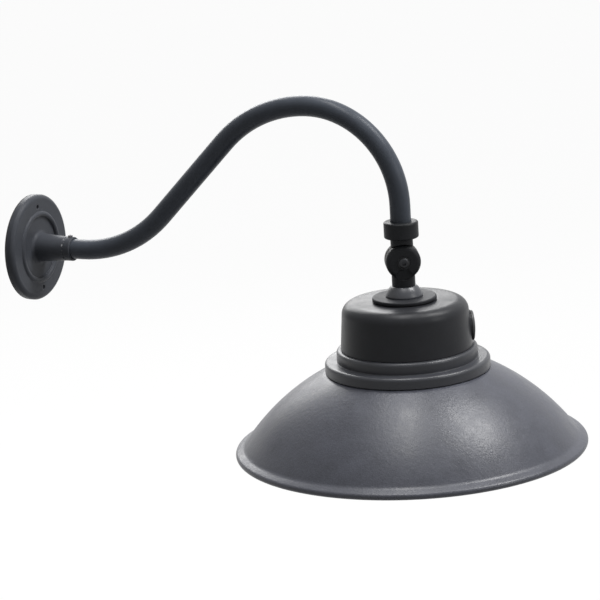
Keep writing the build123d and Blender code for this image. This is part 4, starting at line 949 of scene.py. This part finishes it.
def build_floor(stage):
    """A wide pale floor that keeps a faint shadow and is clear from below."""
    half = stage.floor_size / 2
    mesh = bpy.data.meshes.new("floor")
    corners = ((-half, -half), (half, -half), (half, half), (-half, half))
    mesh.from_pydata([(x, y, stage.floor_height) for x, y in corners], [], [(0, 1, 2, 3)])
    floor = bpy.data.objects.new("floor", mesh)
    bpy.context.scene.collection.objects.link(floor)
    material, tree, shader = new_material("Floor")
    seen = shown_white(tree)
    tree.links.new(blend_colours(tree, seen, (0.3, 0.3, 0.3), (0.95, 0.95, 0.95)),
                   shader.inputs["Base Color"])
    shader.inputs["Roughness"].default_value = 0.9
    glow = add_node(tree, "ShaderNodeEmission", {"Color": (1, 1, 1, 1), "Strength": 1.0})
    glow_share = calculate(tree, "MULTIPLY", seen, 0.96)      # the rest keeps the shadow
    mixed = add_node(tree, "ShaderNodeMixShader", {0: glow_share})
    tree.links.new(shader.outputs[0], mixed.inputs[1])
    tree.links.new(glow.outputs[0], mixed.inputs[2])
    below = add_node(tree, "ShaderNodeNewGeometry").outputs["Backfacing"]
    open_below = add_node(tree, "ShaderNodeMixShader", {0: below})
    clear = add_node(tree, "ShaderNodeBsdfTransparent")
    tree.links.new(mixed.outputs[0], open_below.inputs[1])
    tree.links.new(clear.outputs[0], open_below.inputs[2])
    tree.links.new(open_below.outputs[0], tree.nodes["Material Output"].inputs["Surface"])
    mesh.materials.append(material)


def add_softbox(stage, name, turn, rise, width, depth, power, distance=2.2):
    """One softbox that faces the target, turned from the camera to the picture's right.

    Overhead, its depth runs from front to back.
    """
    heading = stage.azimuth + turn
    towards = Vector((sin(heading) * cos(rise), -cos(heading) * cos(rise), sin(rise)))
    light = bpy.data.lights.new(name, "AREA")
    light.shape = "RECTANGLE"
    light.size = width
    light.size_y = depth
    light.energy = power
    lamp = bpy.data.objects.new(name, light)
    lamp.location = Vector(stage.target) + towards * distance
    lamp.rotation_euler = towards.to_track_quat("Z", "Y").to_euler()
    bpy.context.scene.collection.objects.link(lamp)


def add_camera(stage):
    """The camera, at the light's three-quarter view from in front and above."""
    back = Vector((
        sin(stage.azimuth) * cos(stage.elevation),
        -cos(stage.azimuth) * cos(stage.elevation),
        sin(stage.elevation),
    ))
    data = bpy.data.cameras.new("camera")
    data.lens = stage.focal_length
    data.sensor_width = 36
    data.clip_end = 100
    camera = bpy.data.objects.new("camera", data)
    upright = back.to_track_quat("Z", "Y").to_matrix().to_4x4()
    camera.matrix_world = (
        Matrix.Translation(Vector(stage.target) + back * stage.distance)
        @ upright @ Matrix.Rotation(stage.roll, 4, "Z")
    )
    bpy.context.scene.collection.objects.link(camera)
    bpy.context.scene.camera = camera


class SCONCE_OT_stage(bpy.types.Operator):
    """Set up the floor, the softboxes, the white surroundings and the camera"""

    bl_idname = "sconce.stage"
    bl_label = "Stage"

    def execute(self, context):
        stage = context.scene.sconce_stage
        build_world()
        build_floor(stage)
        for name, turn, rise, width, depth, power in (
            ("key softbox", 92, 56, 0.8, 0.8, stage.key_power),
            ("top softbox", 0, 88, 0.4, 1.6, stage.top_power),
            ("side softbox", 60, 20, 0.6, 0.6, stage.side_power),
            ("back softbox", 190, 27, 1.3, 1.3, stage.back_power),
        ):
            add_softbox(stage, name, radians(turn), radians(rise), width, depth, power)
        add_camera(stage)
        context.scene.view_settings.view_transform = "Standard"
        return {"FINISHED"}


# ================================================================ panel and registration
OPERATORS = (
    SCONCE_OT_wall_plate, SCONCE_OT_arm, SCONCE_OT_swivel, SCONCE_OT_pivot_bolt,
    SCONCE_OT_cone_and_cap, SCONCE_OT_housing, SCONCE_OT_photocell, SCONCE_OT_shade,
    SCONCE_OT_driver, SCONCE_OT_lamp, SCONCE_OT_screws, SCONCE_OT_stage,
)


class SCONCE_PT_panel(bpy.types.Panel):
    """Lists the pieces of the wall light in the order they are finished"""

    bl_idname = "SCONCE_PT_panel"
    bl_label = "Wall Light"
    bl_space_type = "VIEW_3D"
    bl_region_type = "UI"
    bl_category = "Wall Light"

    def draw(self, context):
        for operator in OPERATORS:
            self.layout.operator(operator.bl_idname)
        for name, group in SETTINGS.items():
            box = self.layout.box()
            for setting in group.__annotations__:
                box.prop(getattr(context.scene, name), setting)


def register():
    for group in SETTINGS.values():
        bpy.utils.register_class(group)
    for name, group in SETTINGS.items():
        setattr(bpy.types.Scene, name, bpy.props.PointerProperty(type=group))
    for operator in OPERATORS:
        bpy.utils.register_class(operator)
    bpy.utils.register_class(SCONCE_PT_panel)


def unregister():
    bpy.utils.unregister_class(SCONCE_PT_panel)
    for operator in reversed(OPERATORS):
        bpy.utils.unregister_class(operator)
    for name, group in SETTINGS.items():
        delattr(bpy.types.Scene, name)
        bpy.utils.unregister_class(group)


def main():
    """Registers the add-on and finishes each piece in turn."""
    register()
    for operator in OPERATORS:
        getattr(bpy.ops.sconce, operator.bl_idname.split(".")[1])()


if __name__ == "__main__":
    main()
